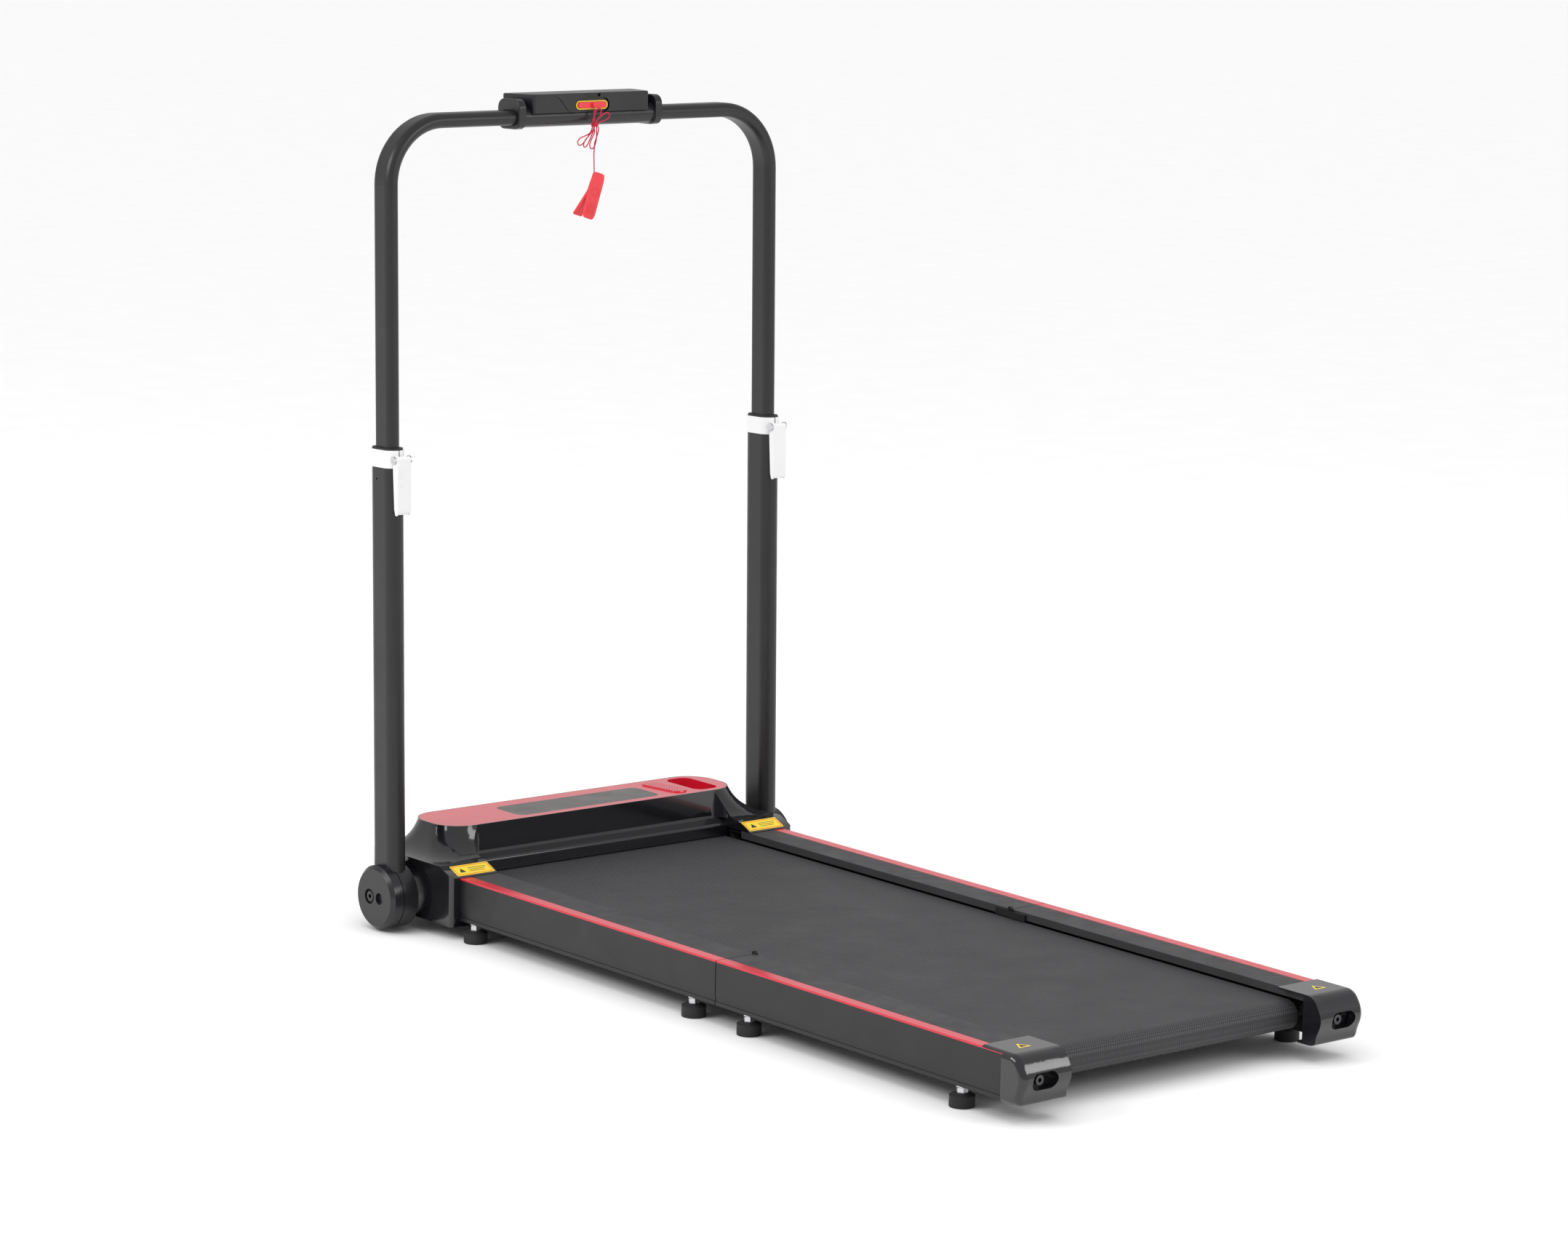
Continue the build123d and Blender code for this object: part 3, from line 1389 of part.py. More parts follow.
knot_y = eye_y - 3.2
knot_up = 1040.0
drop_top = 1036.0
drop_end = 973.0
upper_route = in_mast([
    (0.0, eye_y - 0.2, ring_z - 1.9),
    (0.4, eye_y - 1.4, ring_z - 9.0),
    (-0.3, eye_y - 2.5, ring_z - 17.0),
    (-0.9, knot_y, knot_up + 1.0),
])
upper_cord = cord(upper_route)
drop_route = in_mast([
    (-1.0, knot_y, drop_top - 28.0),
    (-1.5, knot_y + 0.3, drop_top - 38.0),
    (-1.2, knot_y + 0.1, drop_top - 48.0),
    (-1.3, knot_y, drop_end),
])
save_pair([upper_cord, cord(drop_route)], "key_cord")

hank_thickness = 7.0
hank_plane = Plane(
    origin=mast.from_local_coords((0, knot_y + hank_thickness / 2, 0)), x_dir=(1, 0, 0), z_dir=-mast.y_dir
)
with BuildPart() as hank:
    with BuildSketch(hank_plane):
        with BuildLine():
            Polyline(
                (-6.0, knot_up - 2.0),
                (-4.0, knot_up + 1.5),
                (2.0, knot_up + 2.5),
                (3.0, knot_up + 17.0),
                (6.0, knot_up + 21.0),
                (12.0, knot_up + 19.0),
                (20.0, knot_up + 15.0),
                (20.0, knot_up + 8.0),
                (5.0, knot_up - 4.0),
                (3.0, knot_up - 20.0),
                (0.0, knot_up - 32.5),
                (-9.0, knot_up - 33.0),
                (-16.0, knot_up - 28.0),
                (-28.0, knot_up - 22.0),
                (-26.0, knot_up - 14.0),
                (-16.0, knot_up - 6.0),
                close=True,
            )
        make_face()
    extrude(amount=hank_thickness)
    with BuildSketch(Plane(origin=drop_route[0], z_dir=mast.z_dir)):
        Circle(cord_radius)
    extrude(amount=20.0)
save(hank, "key_cord_hank")

# ------------------------------------------------------------------ clothes clip
clip_tilt = math.radians(17.0)
clip_length = 65.0
clip_width = 21.0
jaw_wall = 3.2
clip_top = mast.from_local_coords((7.0, knot_y + jaw_wall / 2, drop_end + 1.0))
clip = Plane(
    origin=clip_top,
    x_dir=(math.cos(clip_tilt), 0, -math.sin(clip_tilt)),
    z_dir=(math.sin(clip_tilt), 0, math.cos(clip_tilt)),
)
clip_side = Plane(origin=clip.origin, x_dir=clip.y_dir, z_dir=clip.x_dir)
pin_y = 3.2
pin_z = -27.0
jaw_pin_radius = 1.2
with BuildPart() as front_jaw:
    with BuildSketch(clip_side.offset(-clip_width / 2)):
        with BuildLine():
            Polyline(
                (-jaw_wall, 0.0),
                (-0.15, -1.0),
                (-0.15, -8.0),
                (-0.6, -9.0),
                (-0.6, -clip_length + 2.0),
                (-1.5, -clip_length),
                (-jaw_wall - 1.0, -clip_length),
                (-jaw_wall - 1.5, -clip_length + 8.0),
                (-jaw_wall - 0.6, -20.0),
                close=True,
            )
        make_face()
    extrude(amount=clip_width)
    for start in (-clip_width / 2 + 1.0, clip_width / 2 - 3.0):
        with BuildSketch(clip_side.offset(start)):
            with Locations((pin_y, pin_z)):
                Circle(3.0)
            with Locations((pin_y / 2 - 0.5, pin_z)):
                Rectangle(pin_y + 1.0, 6.0)
        extrude(amount=2.0)
    with BuildSketch(clip_side.offset(-clip_width / 2 + 1.0)):
        with Locations((pin_y, pin_z)):
            Circle(jaw_pin_radius)
    extrude(amount=clip_width - 2.0, mode=Mode.SUBTRACT)
    # Eye for the cord at the top corner.
    with BuildSketch(clip_side.offset(-clip_width / 2 + 0.6)):
        with Locations((-jaw_wall / 2, 0.0)):
            Circle(1.6)
    extrude(amount=4.0)
save(front_jaw, "clip_front_jaw")

with BuildPart() as rear_jaw:
    with BuildSketch(clip_side.offset(-clip_width / 2 + 3.5)):
        with BuildLine():
            Polyline(
                (0.15, -1.0),
                (2.6, -2.0),
                (5.0, -20.0),
                (pin_y + 3.0, pin_z),
                (25.0, -60.0),
                (24.0, -63.0),
                (21.5, -62.0),
                (2.2, -31.0),
                (1.0, pin_z),
                (2.4, -19.0),
                (0.15, -8.0),
                close=True,
            )
        make_face()
    extrude(amount=clip_width - 7.0)
    with BuildSketch(clip_side.offset(-clip_width / 2 + 3.5)):
        with Locations((pin_y, pin_z)):
            Circle(jaw_pin_radius + 0.05)
    extrude(amount=clip_width - 7.0, mode=Mode.SUBTRACT)
    # Gap that takes the spring's coils.
    with Locations(clip):
        with Locations((0, pin_y, pin_z)):
            Box(7.4, 8.4, 8.4, mode=Mode.SUBTRACT)
save(rear_jaw, "clip_rear_jaw")

with BuildPart() as clip_pin:
    with BuildSketch(clip_side.offset(-clip_width / 2)):
        with Locations((pin_y, pin_z)):
            Circle(jaw_pin_radius)
    extrude(amount=clip_width)

with BuildPart() as clip_spring:
    with BuildSketch(clip_side.offset(-3.5)):
        with Locations((pin_y, pin_z)):
            Circle(2.6)
            Circle(jaw_pin_radius + 0.1, mode=Mode.SUBTRACT)
    extrude(amount=7.0)
save_pair([clip_pin, clip_spring], "clip_spring")
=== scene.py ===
"""Looks of the folding treadmill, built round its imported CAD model.  Metres, +Z up, +Y forward."""

import json
import math

import bpy
import bmesh
from mathutils import Matrix, Vector


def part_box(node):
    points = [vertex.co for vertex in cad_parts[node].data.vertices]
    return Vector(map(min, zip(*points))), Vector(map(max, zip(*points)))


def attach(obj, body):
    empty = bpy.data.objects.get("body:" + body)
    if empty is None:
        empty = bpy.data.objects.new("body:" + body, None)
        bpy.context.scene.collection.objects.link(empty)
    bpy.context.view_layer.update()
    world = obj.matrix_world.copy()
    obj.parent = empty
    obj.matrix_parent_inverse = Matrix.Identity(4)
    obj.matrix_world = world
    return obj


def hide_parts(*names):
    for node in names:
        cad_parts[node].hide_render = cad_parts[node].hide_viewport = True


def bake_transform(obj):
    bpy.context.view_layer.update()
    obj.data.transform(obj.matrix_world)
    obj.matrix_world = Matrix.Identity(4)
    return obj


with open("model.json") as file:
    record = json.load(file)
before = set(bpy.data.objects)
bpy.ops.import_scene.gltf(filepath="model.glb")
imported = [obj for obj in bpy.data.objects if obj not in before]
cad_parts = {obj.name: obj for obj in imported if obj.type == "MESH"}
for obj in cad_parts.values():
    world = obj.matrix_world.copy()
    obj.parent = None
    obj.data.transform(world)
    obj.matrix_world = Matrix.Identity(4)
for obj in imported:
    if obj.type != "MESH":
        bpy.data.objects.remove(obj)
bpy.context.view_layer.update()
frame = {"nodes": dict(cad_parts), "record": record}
nodes = frame["nodes"]
record = frame["record"]
scene = bpy.context.scene

MM = 0.001
joints = {joint["name"]: joint for joint in record["behaviour"]["joints"]}


# ------------------------------------------------------------------ camera
CAMERA_PLACE = Vector((-4.1726, -4.9133, 1.6253))
CAMERA_YAW = -39.51
CAMERA_PITCH = 10.128
CAMERA_ROLL = 1.27
CAMERA_LENS = 115.32
SENSOR_WIDTH = 36.0


def add_camera():
    """Long-lens camera behind the walker's left shoulder."""
    data = bpy.data.cameras.new("camera")
    data.lens = CAMERA_LENS
    data.sensor_width = SENSOR_WIDTH
    data.sensor_fit = "HORIZONTAL"
    data.clip_start = 0.05
    data.clip_end = 60.0
    camera = bpy.data.objects.new("camera", data)
    scene.collection.objects.link(camera)
    yaw, pitch, roll = (math.radians(a) for a in (CAMERA_YAW, CAMERA_PITCH, CAMERA_ROLL))
    back = Vector((math.sin(yaw) * math.cos(pitch), -math.cos(yaw) * math.cos(pitch), math.sin(pitch)))
    level = Vector((math.cos(yaw), math.sin(yaw), 0.0))
    upright = back.cross(level)
    right = level * math.cos(roll) + upright * math.sin(roll)
    up = upright * math.cos(roll) - level * math.sin(roll)
    turn = Matrix((right, up, back)).transposed().to_4x4()
    camera.matrix_world = Matrix.Translation(CAMERA_PLACE) @ turn
    scene.camera = camera


# ------------------------------------------------------------------ materials
def new_material(name):
    """Empty node material: the material, its tree and its shader."""
    made = bpy.data.materials.new(name)
    made.use_nodes = True
    return made, made.node_tree, made.node_tree.nodes["Principled BSDF"]


def noise(tree, scale, detail=4.0):
    """Noise in the object's own coordinates."""
    place = tree.nodes.new("ShaderNodeTexCoord")
    texture = tree.nodes.new("ShaderNodeTexNoise")
    texture.inputs["Scale"].default_value = scale
    texture.inputs["Detail"].default_value = detail
    tree.links.new(place.outputs["Object"], texture.inputs["Vector"])
    return texture.outputs["Fac"]


def spread(tree, source, low, high):
    """Maps the middle of a texture's range onto low to high."""
    node = tree.nodes.new("ShaderNodeMapRange")
    node.inputs["From Min"].default_value = 0.3
    node.inputs["From Max"].default_value = 0.7
    node.inputs["To Min"].default_value = low
    node.inputs["To Max"].default_value = high
    tree.links.new(source, node.inputs["Value"])
    return node.outputs["Result"]


def tones(tree, source, dark, light):
    """Colour between two tones."""
    node = tree.nodes.new("ShaderNodeValToRGB")
    node.color_ramp.elements[0].position = 0.3
    node.color_ramp.elements[0].color = (*dark, 1.0)
    node.color_ramp.elements[1].position = 0.7
    node.color_ramp.elements[1].color = (*light, 1.0)
    tree.links.new(source, node.inputs["Fac"])
    return node.outputs["Color"]


def raise_surface(tree, shader, source, depth, strength=1.0):
    """Small relief of this depth in metres."""
    bump = tree.nodes.new("ShaderNodeBump")
    bump.inputs["Distance"].default_value = depth
    bump.inputs["Strength"].default_value = strength
    tree.links.new(source, bump.inputs["Height"])
    tree.links.new(bump.outputs["Normal"], shader.inputs["Normal"])


def finish_of(name, colour, rough, tint=0.12, cloud=9.0, grain=900.0, depth=0.00003, **sockets):
    """Moulded or painted surface: soft colour and gloss variation with a fine grain."""
    made, tree, shader = new_material(name)
    dark = [channel * (1.0 - tint) for channel in colour]
    light = [min(1.0, channel * (1.0 + tint)) for channel in colour]
    clouds = noise(tree, cloud)
    tree.links.new(tones(tree, clouds, dark, light), shader.inputs["Base Color"])
    wear = noise(tree, cloud * 3.1)
    tree.links.new(spread(tree, wear, rough * 0.85, rough * 1.15), shader.inputs["Roughness"])
    raise_surface(tree, shader, noise(tree, grain, 2.0), depth)
    for socket, value in sockets.items():
        shader.inputs[socket.replace("_", " ")].default_value = value
    return made


WEAVE_PITCH = 0.003
WEAVE_SLANT = 33.0


def woven_belt(name):
    """Rubber belt with a fine diamond weave."""
    made, tree, shader = new_material(name)
    place = tree.nodes.new("ShaderNodeTexCoord")
    waves = []
    for slant in (WEAVE_SLANT, -WEAVE_SLANT):
        turn = tree.nodes.new("ShaderNodeMapping")
        turn.inputs["Rotation"].default_value = (0.0, 0.0, math.radians(slant))
        wave = tree.nodes.new("ShaderNodeTexWave")
        wave.bands_direction = "X"
        wave.inputs["Scale"].default_value = 2 * math.pi / (20.0 * WEAVE_PITCH)
        wave.inputs["Distortion"].default_value = 0.0
        tree.links.new(place.outputs["Object"], turn.inputs["Vector"])
        tree.links.new(turn.outputs["Vector"], wave.inputs["Vector"])
        waves.append(wave.outputs["Fac"])
    both = tree.nodes.new("ShaderNodeMath")
    both.operation = "MULTIPLY"
    tree.links.new(waves[0], both.inputs[0])
    tree.links.new(waves[1], both.inputs[1])
    weave = both.outputs["Value"]
    raise_surface(tree, shader, weave, 0.0005, 0.8)
    rubber = tones(tree, weave, (0.030, 0.030, 0.032), (0.092, 0.092, 0.098))
    tree.links.new(rubber, shader.inputs["Base Color"])
    tree.links.new(spread(tree, noise(tree, 14.0), 0.5, 0.62), shader.inputs["Roughness"])
    shader.inputs["Specular IOR Level"].default_value = 0.35
    return made


def brushed(name, colour, rough, **sockets):
    """Metal with fine lines along the object's Y and small gloss changes."""
    made, tree, shader = new_material(name)
    place = tree.nodes.new("ShaderNodeTexCoord")
    stretch = tree.nodes.new("ShaderNodeMapping")
    stretch.inputs["Scale"].default_value = (1500.0, 60.0, 1500.0)
    lines = tree.nodes.new("ShaderNodeTexNoise")
    lines.inputs["Scale"].default_value = 1.0
    tree.links.new(place.outputs["Object"], stretch.inputs["Vector"])
    tree.links.new(stretch.outputs["Vector"], lines.inputs["Vector"])
    dark = [channel * 0.85 for channel in colour]
    tree.links.new(tones(tree, lines.outputs["Fac"], dark, colour), shader.inputs["Base Color"])
    tree.links.new(spread(tree, noise(tree, 40.0), rough * 0.8, rough * 1.2), shader.inputs["Roughness"])
    raise_surface(tree, shader, lines.outputs["Fac"], 0.00002)
    shader.inputs["Metallic"].default_value = 1.0
    for socket, value in sockets.items():
        shader.inputs[socket.replace("_", " ")].default_value = value
    return made


BLACK = (0.010, 0.010, 0.011)
RED = (0.62, 0.012, 0.035)

PAINTS = {
    "rail_black": finish_of("rail_paint", (0.012, 0.012, 0.013), 0.36, depth=0.00002, Specular_IOR_Level=0.4),
    "foot_rail": finish_of(
        "foot_rail_grain", (0.040, 0.040, 0.043), 0.55, grain=1300.0, depth=0.00025, Specular_IOR_Level=0.45
    ),
    "red_trim": finish_of(
        "trim_red", RED, 0.24, tint=0.04, depth=0.000003, Coat_Weight=0.4, Coat_Roughness=0.12
    ),
    "board": finish_of("waxed_board", (0.30, 0.21, 0.13), 0.6, tint=0.3, cloud=30.0, depth=0.0001),
    "frame_black": finish_of("powder_coat", BLACK, 0.5, grain=1400.0, depth=0.00008),
    "belt": woven_belt("belt_weave"),
    "steel": brushed("turned_steel", (0.55, 0.55, 0.56), 0.3),
    "rubber_foot": finish_of("foot_rubber", (0.014, 0.014, 0.015), 0.7, grain=700.0, depth=0.00012),
    "zinc": brushed("zinc_plate", (0.7, 0.7, 0.72), 0.26),
    "gloss_black": finish_of(
        "gloss_shell",
        (0.008, 0.008, 0.010),
        0.13,
        tint=0.08,
        depth=0.000004,
        Coat_Weight=0.5,
        Coat_Roughness=0.05,
    ),
    "red_gloss": finish_of(
        "panel_red", RED, 0.2, tint=0.03, depth=0.000003, Coat_Weight=0.5, Coat_Roughness=0.08
    ),
    "lens": finish_of("display_window", (0.085, 0.080, 0.076), 0.34, tint=0.1, grain=1800.0, depth=0.00003),
    "matte_black": finish_of("matte_moulding", (0.014, 0.014, 0.015), 0.6, grain=1000.0, depth=0.0001),
    "rubber_belt": finish_of("drive_rubber", (0.012, 0.012, 0.012), 0.7, depth=0.00005),
    "steel_dark": brushed("oxide_steel", (0.09, 0.09, 0.095), 0.35),
    "hub_black": finish_of("hub_moulding", (0.011, 0.011, 0.013), 0.26, grain=1100.0, depth=0.00004),
    "tube_black": finish_of(
        "tube_coat", (0.014, 0.014, 0.015), 0.34, grain=1500.0, depth=0.00006, Specular_IOR_Level=0.45
    ),
    "clamp_white": finish_of(
        "clamp_enamel", (0.86, 0.86, 0.86), 0.3, tint=0.03, depth=0.00002, Coat_Weight=0.3
    ),
    "console_black": finish_of("console_moulding", (0.012, 0.012, 0.014), 0.3, grain=1200.0, depth=0.00005),
    "yellow": finish_of("signal_yellow", (0.83, 0.60, 0.015), 0.3, tint=0.06, Coat_Weight=0.3),
    "red_key": finish_of(
        "clip_red", (0.80, 0.045, 0.06), 0.3, tint=0.07, Subsurface_Weight=0.12, Subsurface_Scale=0.004
    ),
    "red_cord": finish_of(
        "cord_fibre", (0.62, 0.006, 0.045), 0.6, tint=0.25, cloud=700.0, grain=2500.0, depth=0.0002
    ),
}


def paint_cad_nodes():
    """Gives each CAD node the finish of its record slot."""
    for subpart in record["subparts"]:
        node = nodes[subpart["node"]]
        node.data.materials.clear()
        node.data.materials.append(PAINTS[subpart["material_slot"]])


# ------------------------------------------------------------------ softened edges
EDGE_ROUNDS = {
    "hood_cover": 2.5,
    "side_covers": 2.0,
    "end_cap_left": 1.2,
    "end_cap_right": 1.2,
    "console_body": 0.5,
    "console_lid": 0.7,
    "handle_saddle": 0.8,
    "clamp_collars": 0.6,
    "clamp_lever_left": 0.7,
    "clamp_lever_right": 0.7,
    "pivot_covers": 0.8,
    "foot_rails_front": 0.5,
    "foot_rails_rear": 0.5,
    "trim_stripes_front": 0.4,
    "trim_stripes_rear": 0.4,
    "hood_panel": 0.3,
    "hand_grip": 0.6,
    "safety_key": 0.3,
    "key_socket": 0.3,
}
EDGE_ANGLE = 32.0


def soften_edges():
    """Rounds the sharp edges of the mouldings with modifiers."""
    for name, width in EDGE_ROUNDS.items():
        node = nodes[name]
        weld = node.modifiers.new("weld", "WELD")
        weld.merge_threshold = 0.01 * MM
        bevel = node.modifiers.new("edge_round", "BEVEL")
        bevel.width = width * MM
        bevel.segments = 3
        bevel.limit_method = "ANGLE"
        bevel.angle_limit = math.radians(EDGE_ANGLE)
        bevel.harden_normals = False
        shading = node.modifiers.new("shading", "WEIGHTED_NORMAL")
        shading.keep_sharp = False
        shading.weight = 80


# ------------------------------------------------------------------ mesh helpers
def add_piece(name, mesh, body, slot):
    """Links a new piece, paints it and lets it ride on its body."""
    piece = bpy.data.objects.new(name, mesh)
    scene.collection.objects.link(piece)
    if not mesh.materials:
        mesh.materials.append(PAINTS[slot])
    if body:
        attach(piece, body)
    return piece


def shade_smooth(mesh):
    """Smooth shading on every face."""
    for face in mesh.polygons:
        face.use_smooth = True


def round_edges(piece, width, segments=3):
    """Bevel modifier with smooth shading."""
    bevel = piece.modifiers.new("edge_round", "BEVEL")
    bevel.width = width
    bevel.segments = segments
    bevel.limit_method = "ANGLE"
    bevel.angle_limit = math.radians(EDGE_ANGLE)
    shade_smooth(piece.data)
    piece.modifiers.new("shading", "WEIGHTED_NORMAL")


def extruded(outline, low, high, place):
    """Mesh of a flat outline pulled from low to high; place turns (u, v, w) into a point."""
    body = bmesh.new()
    near = [body.verts.new(place(u, v, low)) for u, v in outline]
    far = [body.verts.new(place(u, v, high)) for u, v in outline]
    body.faces.new(near)
    body.faces.new(list(reversed(far)))
    count = len(outline)
    for index in range(count):
        ahead = (index + 1) % count
        body.faces.new((near[ahead], near[index], far[index], far[ahead]))
    bmesh.ops.recalc_face_normals(body, faces=body.faces)
    mesh = bpy.data.meshes.new("extruded")
    body.to_mesh(mesh)
    body.free()
    return mesh


def rounded(corners, radius, steps=6):
    """Outline with each corner replaced by an arc-like curve."""
    points = []
    count = len(corners)
    for index, corner in enumerate(corners):
        here = Vector(corner)
        before = Vector(corners[index - 1])
        after = Vector(corners[(index + 1) % count])
        reach = min(radius, (before - here).length * 0.45, (after - here).length * 0.45)
        start = here + (before - here).normalized() * reach
        end = here + (after - here).normalized() * reach
        for step in range(steps + 1):
            t = step / steps
            points.append(tuple(start * (1 - t) ** 2 + here * 2 * t * (1 - t) + end * t**2))
    return points


# ------------------------------------------------------------------ running belt
BELT_ARC_STEPS = 20
FINE_REACH = 0.09
FINE_STEP = 0.003
COARSE_STEP = 0.03
BELT_THICKNESS = 0.002
BELT_COLUMNS = 9


def belt_stations(start, end, fold):
    """Places along a straight run, closer together near the fold line."""
    places = [start]
    heading = 1.0 if end > start else -1.0
    while True:
        near_fold = abs(places[-1] - fold) < FINE_REACH
        ahead = places[-1] + heading * (FINE_STEP if near_fold else COARSE_STEP)
        if not near_fold and abs(ahead - fold) < FINE_REACH:
            ahead = fold - heading * (FINE_REACH - 0.0001)
        if (end - ahead) * heading <= COARSE_STEP * 0.2:
            return places
        places.append(ahead)


def belt_path(front_y, rear_y, centre_z, radius, fold):
    """Closed path of the belt in Y and Z, over the top, round the front and back below."""
    path = [(y, centre_z + radius) for y in belt_stations(rear_y, front_y, fold)]
    for step in range(BELT_ARC_STEPS + 1):
        angle = math.pi / 2 - math.pi * step / BELT_ARC_STEPS
        path.append((front_y + radius * math.cos(angle), centre_z + radius * math.sin(angle)))
    path += [(y, centre_z - radius) for y in belt_stations(front_y, rear_y, fold)[1:]]
    for step in range(BELT_ARC_STEPS):
        angle = -math.pi / 2 - math.pi * step / BELT_ARC_STEPS
        path.append((rear_y + radius * math.cos(angle), centre_z + radius * math.sin(angle)))
    return path


def add_running_belt():
    """Belt as one closed band, with closer stations near the fold line."""
    low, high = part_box("running_belt")
    fold_y = joints["deck_fold"]["pos_m"][1]
    rear_y = joints["rear_roller_spin"]["pos_m"][1]
    front_y = joints["front_roller_spin"]["pos_m"][1]
    centre_z = (low[2] + high[2]) / 2
    outer = (high[2] - low[2]) / 2
    outside = belt_path(front_y, rear_y, centre_z, outer, fold_y)
    inside = belt_path(front_y, rear_y, centre_z, outer - BELT_THICKNESS, fold_y)
    body = bmesh.new()
    shell = []
    for path in (outside, inside):
        rows = []
        for column in range(BELT_COLUMNS):
            x = low[0] + (high[0] - low[0]) * column / (BELT_COLUMNS - 1)
            rows.append([body.verts.new((x, y, z)) for y, z in path])
        shell.append(rows)
    count = len(outside)
    for rows in shell:
        for column in range(BELT_COLUMNS - 1):
            for index in range(count):
                ahead = (index + 1) % count
                left, right = rows[column], rows[column + 1]
                body.faces.new((left[index], right[index], right[ahead], left[ahead]))
    for column in (0, BELT_COLUMNS - 1):
        outer_edge, inner_edge = shell[0][column], shell[1][column]
        for index in range(count):
            ahead = (index + 1) % count
            body.faces.new((outer_edge[index], outer_edge[ahead], inner_edge[ahead], inner_edge[index]))
    bmesh.ops.recalc_face_normals(body, faces=body.faces)
    mesh = bpy.data.meshes.new("belt_band")
    body.to_mesh(mesh)
    body.free()
    shade_smooth(mesh)
    belt = add_piece("belt_band", mesh, None, "belt")
    keep_edges_sharp(belt)
    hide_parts("running_belt")
    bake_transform(belt)


def keep_edges_sharp(piece):
    """Marks hard edges so that smooth shading stops there."""
    body = bmesh.new()
    body.from_mesh(piece.data)
    for edge in body.edges:
        if len(edge.link_faces) == 2 and edge.calc_face_angle() > math.radians(EDGE_ANGLE):
            edge.smooth = False
    body.to_mesh(piece.data)
    body.free()


# ------------------------------------------------------------------ key cord
mast_lean = math.atan2(joints["handle_slide"]["axis"][1], joints["handle_slide"]["axis"][2])
mast_foot = Vector(joints["mast_fold"]["pos_m"])


def on_mast(x, y, up):
    """Point given in millimetres in the mast's frame: right, forward and up the tubes."""
    forward = y * math.cos(mast_lean) + up * math.sin(mast_lean)
    height = up * math.cos(mast_lean) - y * math.sin(mast_lean)
    return mast_foot + Vector((x, forward, height)) * MM


CORD_DIAMETER = 0.0016
EYE_Y = -28.8
RING_UP = 1066.8
KNOT_Y = -32.0
KNOT_UP = 1040.0
DROP_END = 973.0
# From the key's eye down to the knot, as the CAD cord runs.
UPPER_ROUTE = [
    (0.0, EYE_Y - 0.2, RING_UP - 1.9),
    (0.4, EYE_Y - 1.4, RING_UP - 9.0),
    (-0.3, EYE_Y - 2.5, RING_UP - 17.0),
    (-0.9, KNOT_Y, KNOT_UP + 1.0),
]
# Loops of the hank: each passes through its own place in the knot.
HANK_ROUTE = [
    (-0.9, -32.0, 1034.0),
    (-7.0, -31.6, 1029.0),
    (-16.0, -31.0, 1025.0),
    (-24.0, -30.6, 1023.0),
    (-29.0, -30.4, 1018.0),
    (-27.0, -30.3, 1012.5),
    (-20.5, -30.2, 1013.0),
    (-12.0, -30.2, 1022.0),
    (-5.0, -30.2, 1031.0),
    (-2.6, -30.2, 1038.0),
    (-2.2, -30.4, 1045.0),
    (-1.8, -32.6, 1052.0),
    (1.0, -33.4, 1060.0),
    (6.0, -33.4, 1063.5),
    (10.5, -33.2, 1060.0),
    (9.0, -32.4, 1052.0),
    (3.0, -31.0, 1045.0),
    (0.9, -30.2, 1038.0),
    (-0.5, -30.1, 1032.0),
    (-6.0, -29.8, 1022.0),
    (-10.0, -29.8, 1014.0),
    (-15.5, -30.4, 1009.0),
    (-20.5, -32.6, 1011.5),
    (-19.0, -33.8, 1019.0),
    (-10.0, -33.9, 1027.0),
    (-4.0, -33.8, 1033.0),
    (-2.6, -33.7, 1040.0),
    (1.0, -34.6, 1046.0),
    (9.0, -35.3, 1052.5),
    (17.0, -35.3, 1057.0),
    (23.0, -35.0, 1055.0),
    (22.5, -34.4, 1048.5),
    (14.0, -33.2, 1045.0),
    (5.0, -32.2, 1043.0),
    (2.6, -32.0, 1037.0),
    (3.0, -32.4, 1028.0),
    (1.0, -33.6, 1017.0),
    (-3.0, -34.4, 1009.0),
    (-8.5, -34.8, 1006.5),
    (-12.0, -35.0, 1012.0),
    (-8.0, -34.9, 1021.0),
    (-1.5, -34.4, 1030.0),
    (-3.6, -34.8, 1035.0),
    (-5.6, -37.0, 1040.0),
    (-1.8, -38.0, 1042.6),
]
DROP_ROUTE = [
    (-1.0, KNOT_Y, 1008.0),
    (-1.5, KNOT_Y + 0.3, 998.0),
    (-1.2, KNOT_Y + 0.1, 988.0),
    (-1.3, KNOT_Y, DROP_END),
]
TIE_TURNS = 2
TIE_STEPS = 12
TIE_RADIUS = 5.0
TIE_PITCH = 1.8
TIE_CENTRE = (0.0, -31.9)
TIE_SQUASH = 0.86
TIE_START_ANGLE = -math.pi / 2 + 0.5
TIE_TOP = 1041.5


def tie_turns():
    """Turns of the cord round the middle of its hank, from the top turn down."""
    points = []
    for step in range(TIE_TURNS * TIE_STEPS + 1):
        angle = TIE_START_ANGLE + 2 * math.pi * step / TIE_STEPS
        x = TIE_CENTRE[0] + TIE_RADIUS * math.cos(angle)
        y = TIE_CENTRE[1] + TIE_RADIUS * TIE_SQUASH * math.sin(angle)
        points.append((x, y, TIE_TOP - TIE_PITCH * step / TIE_STEPS))
    return points


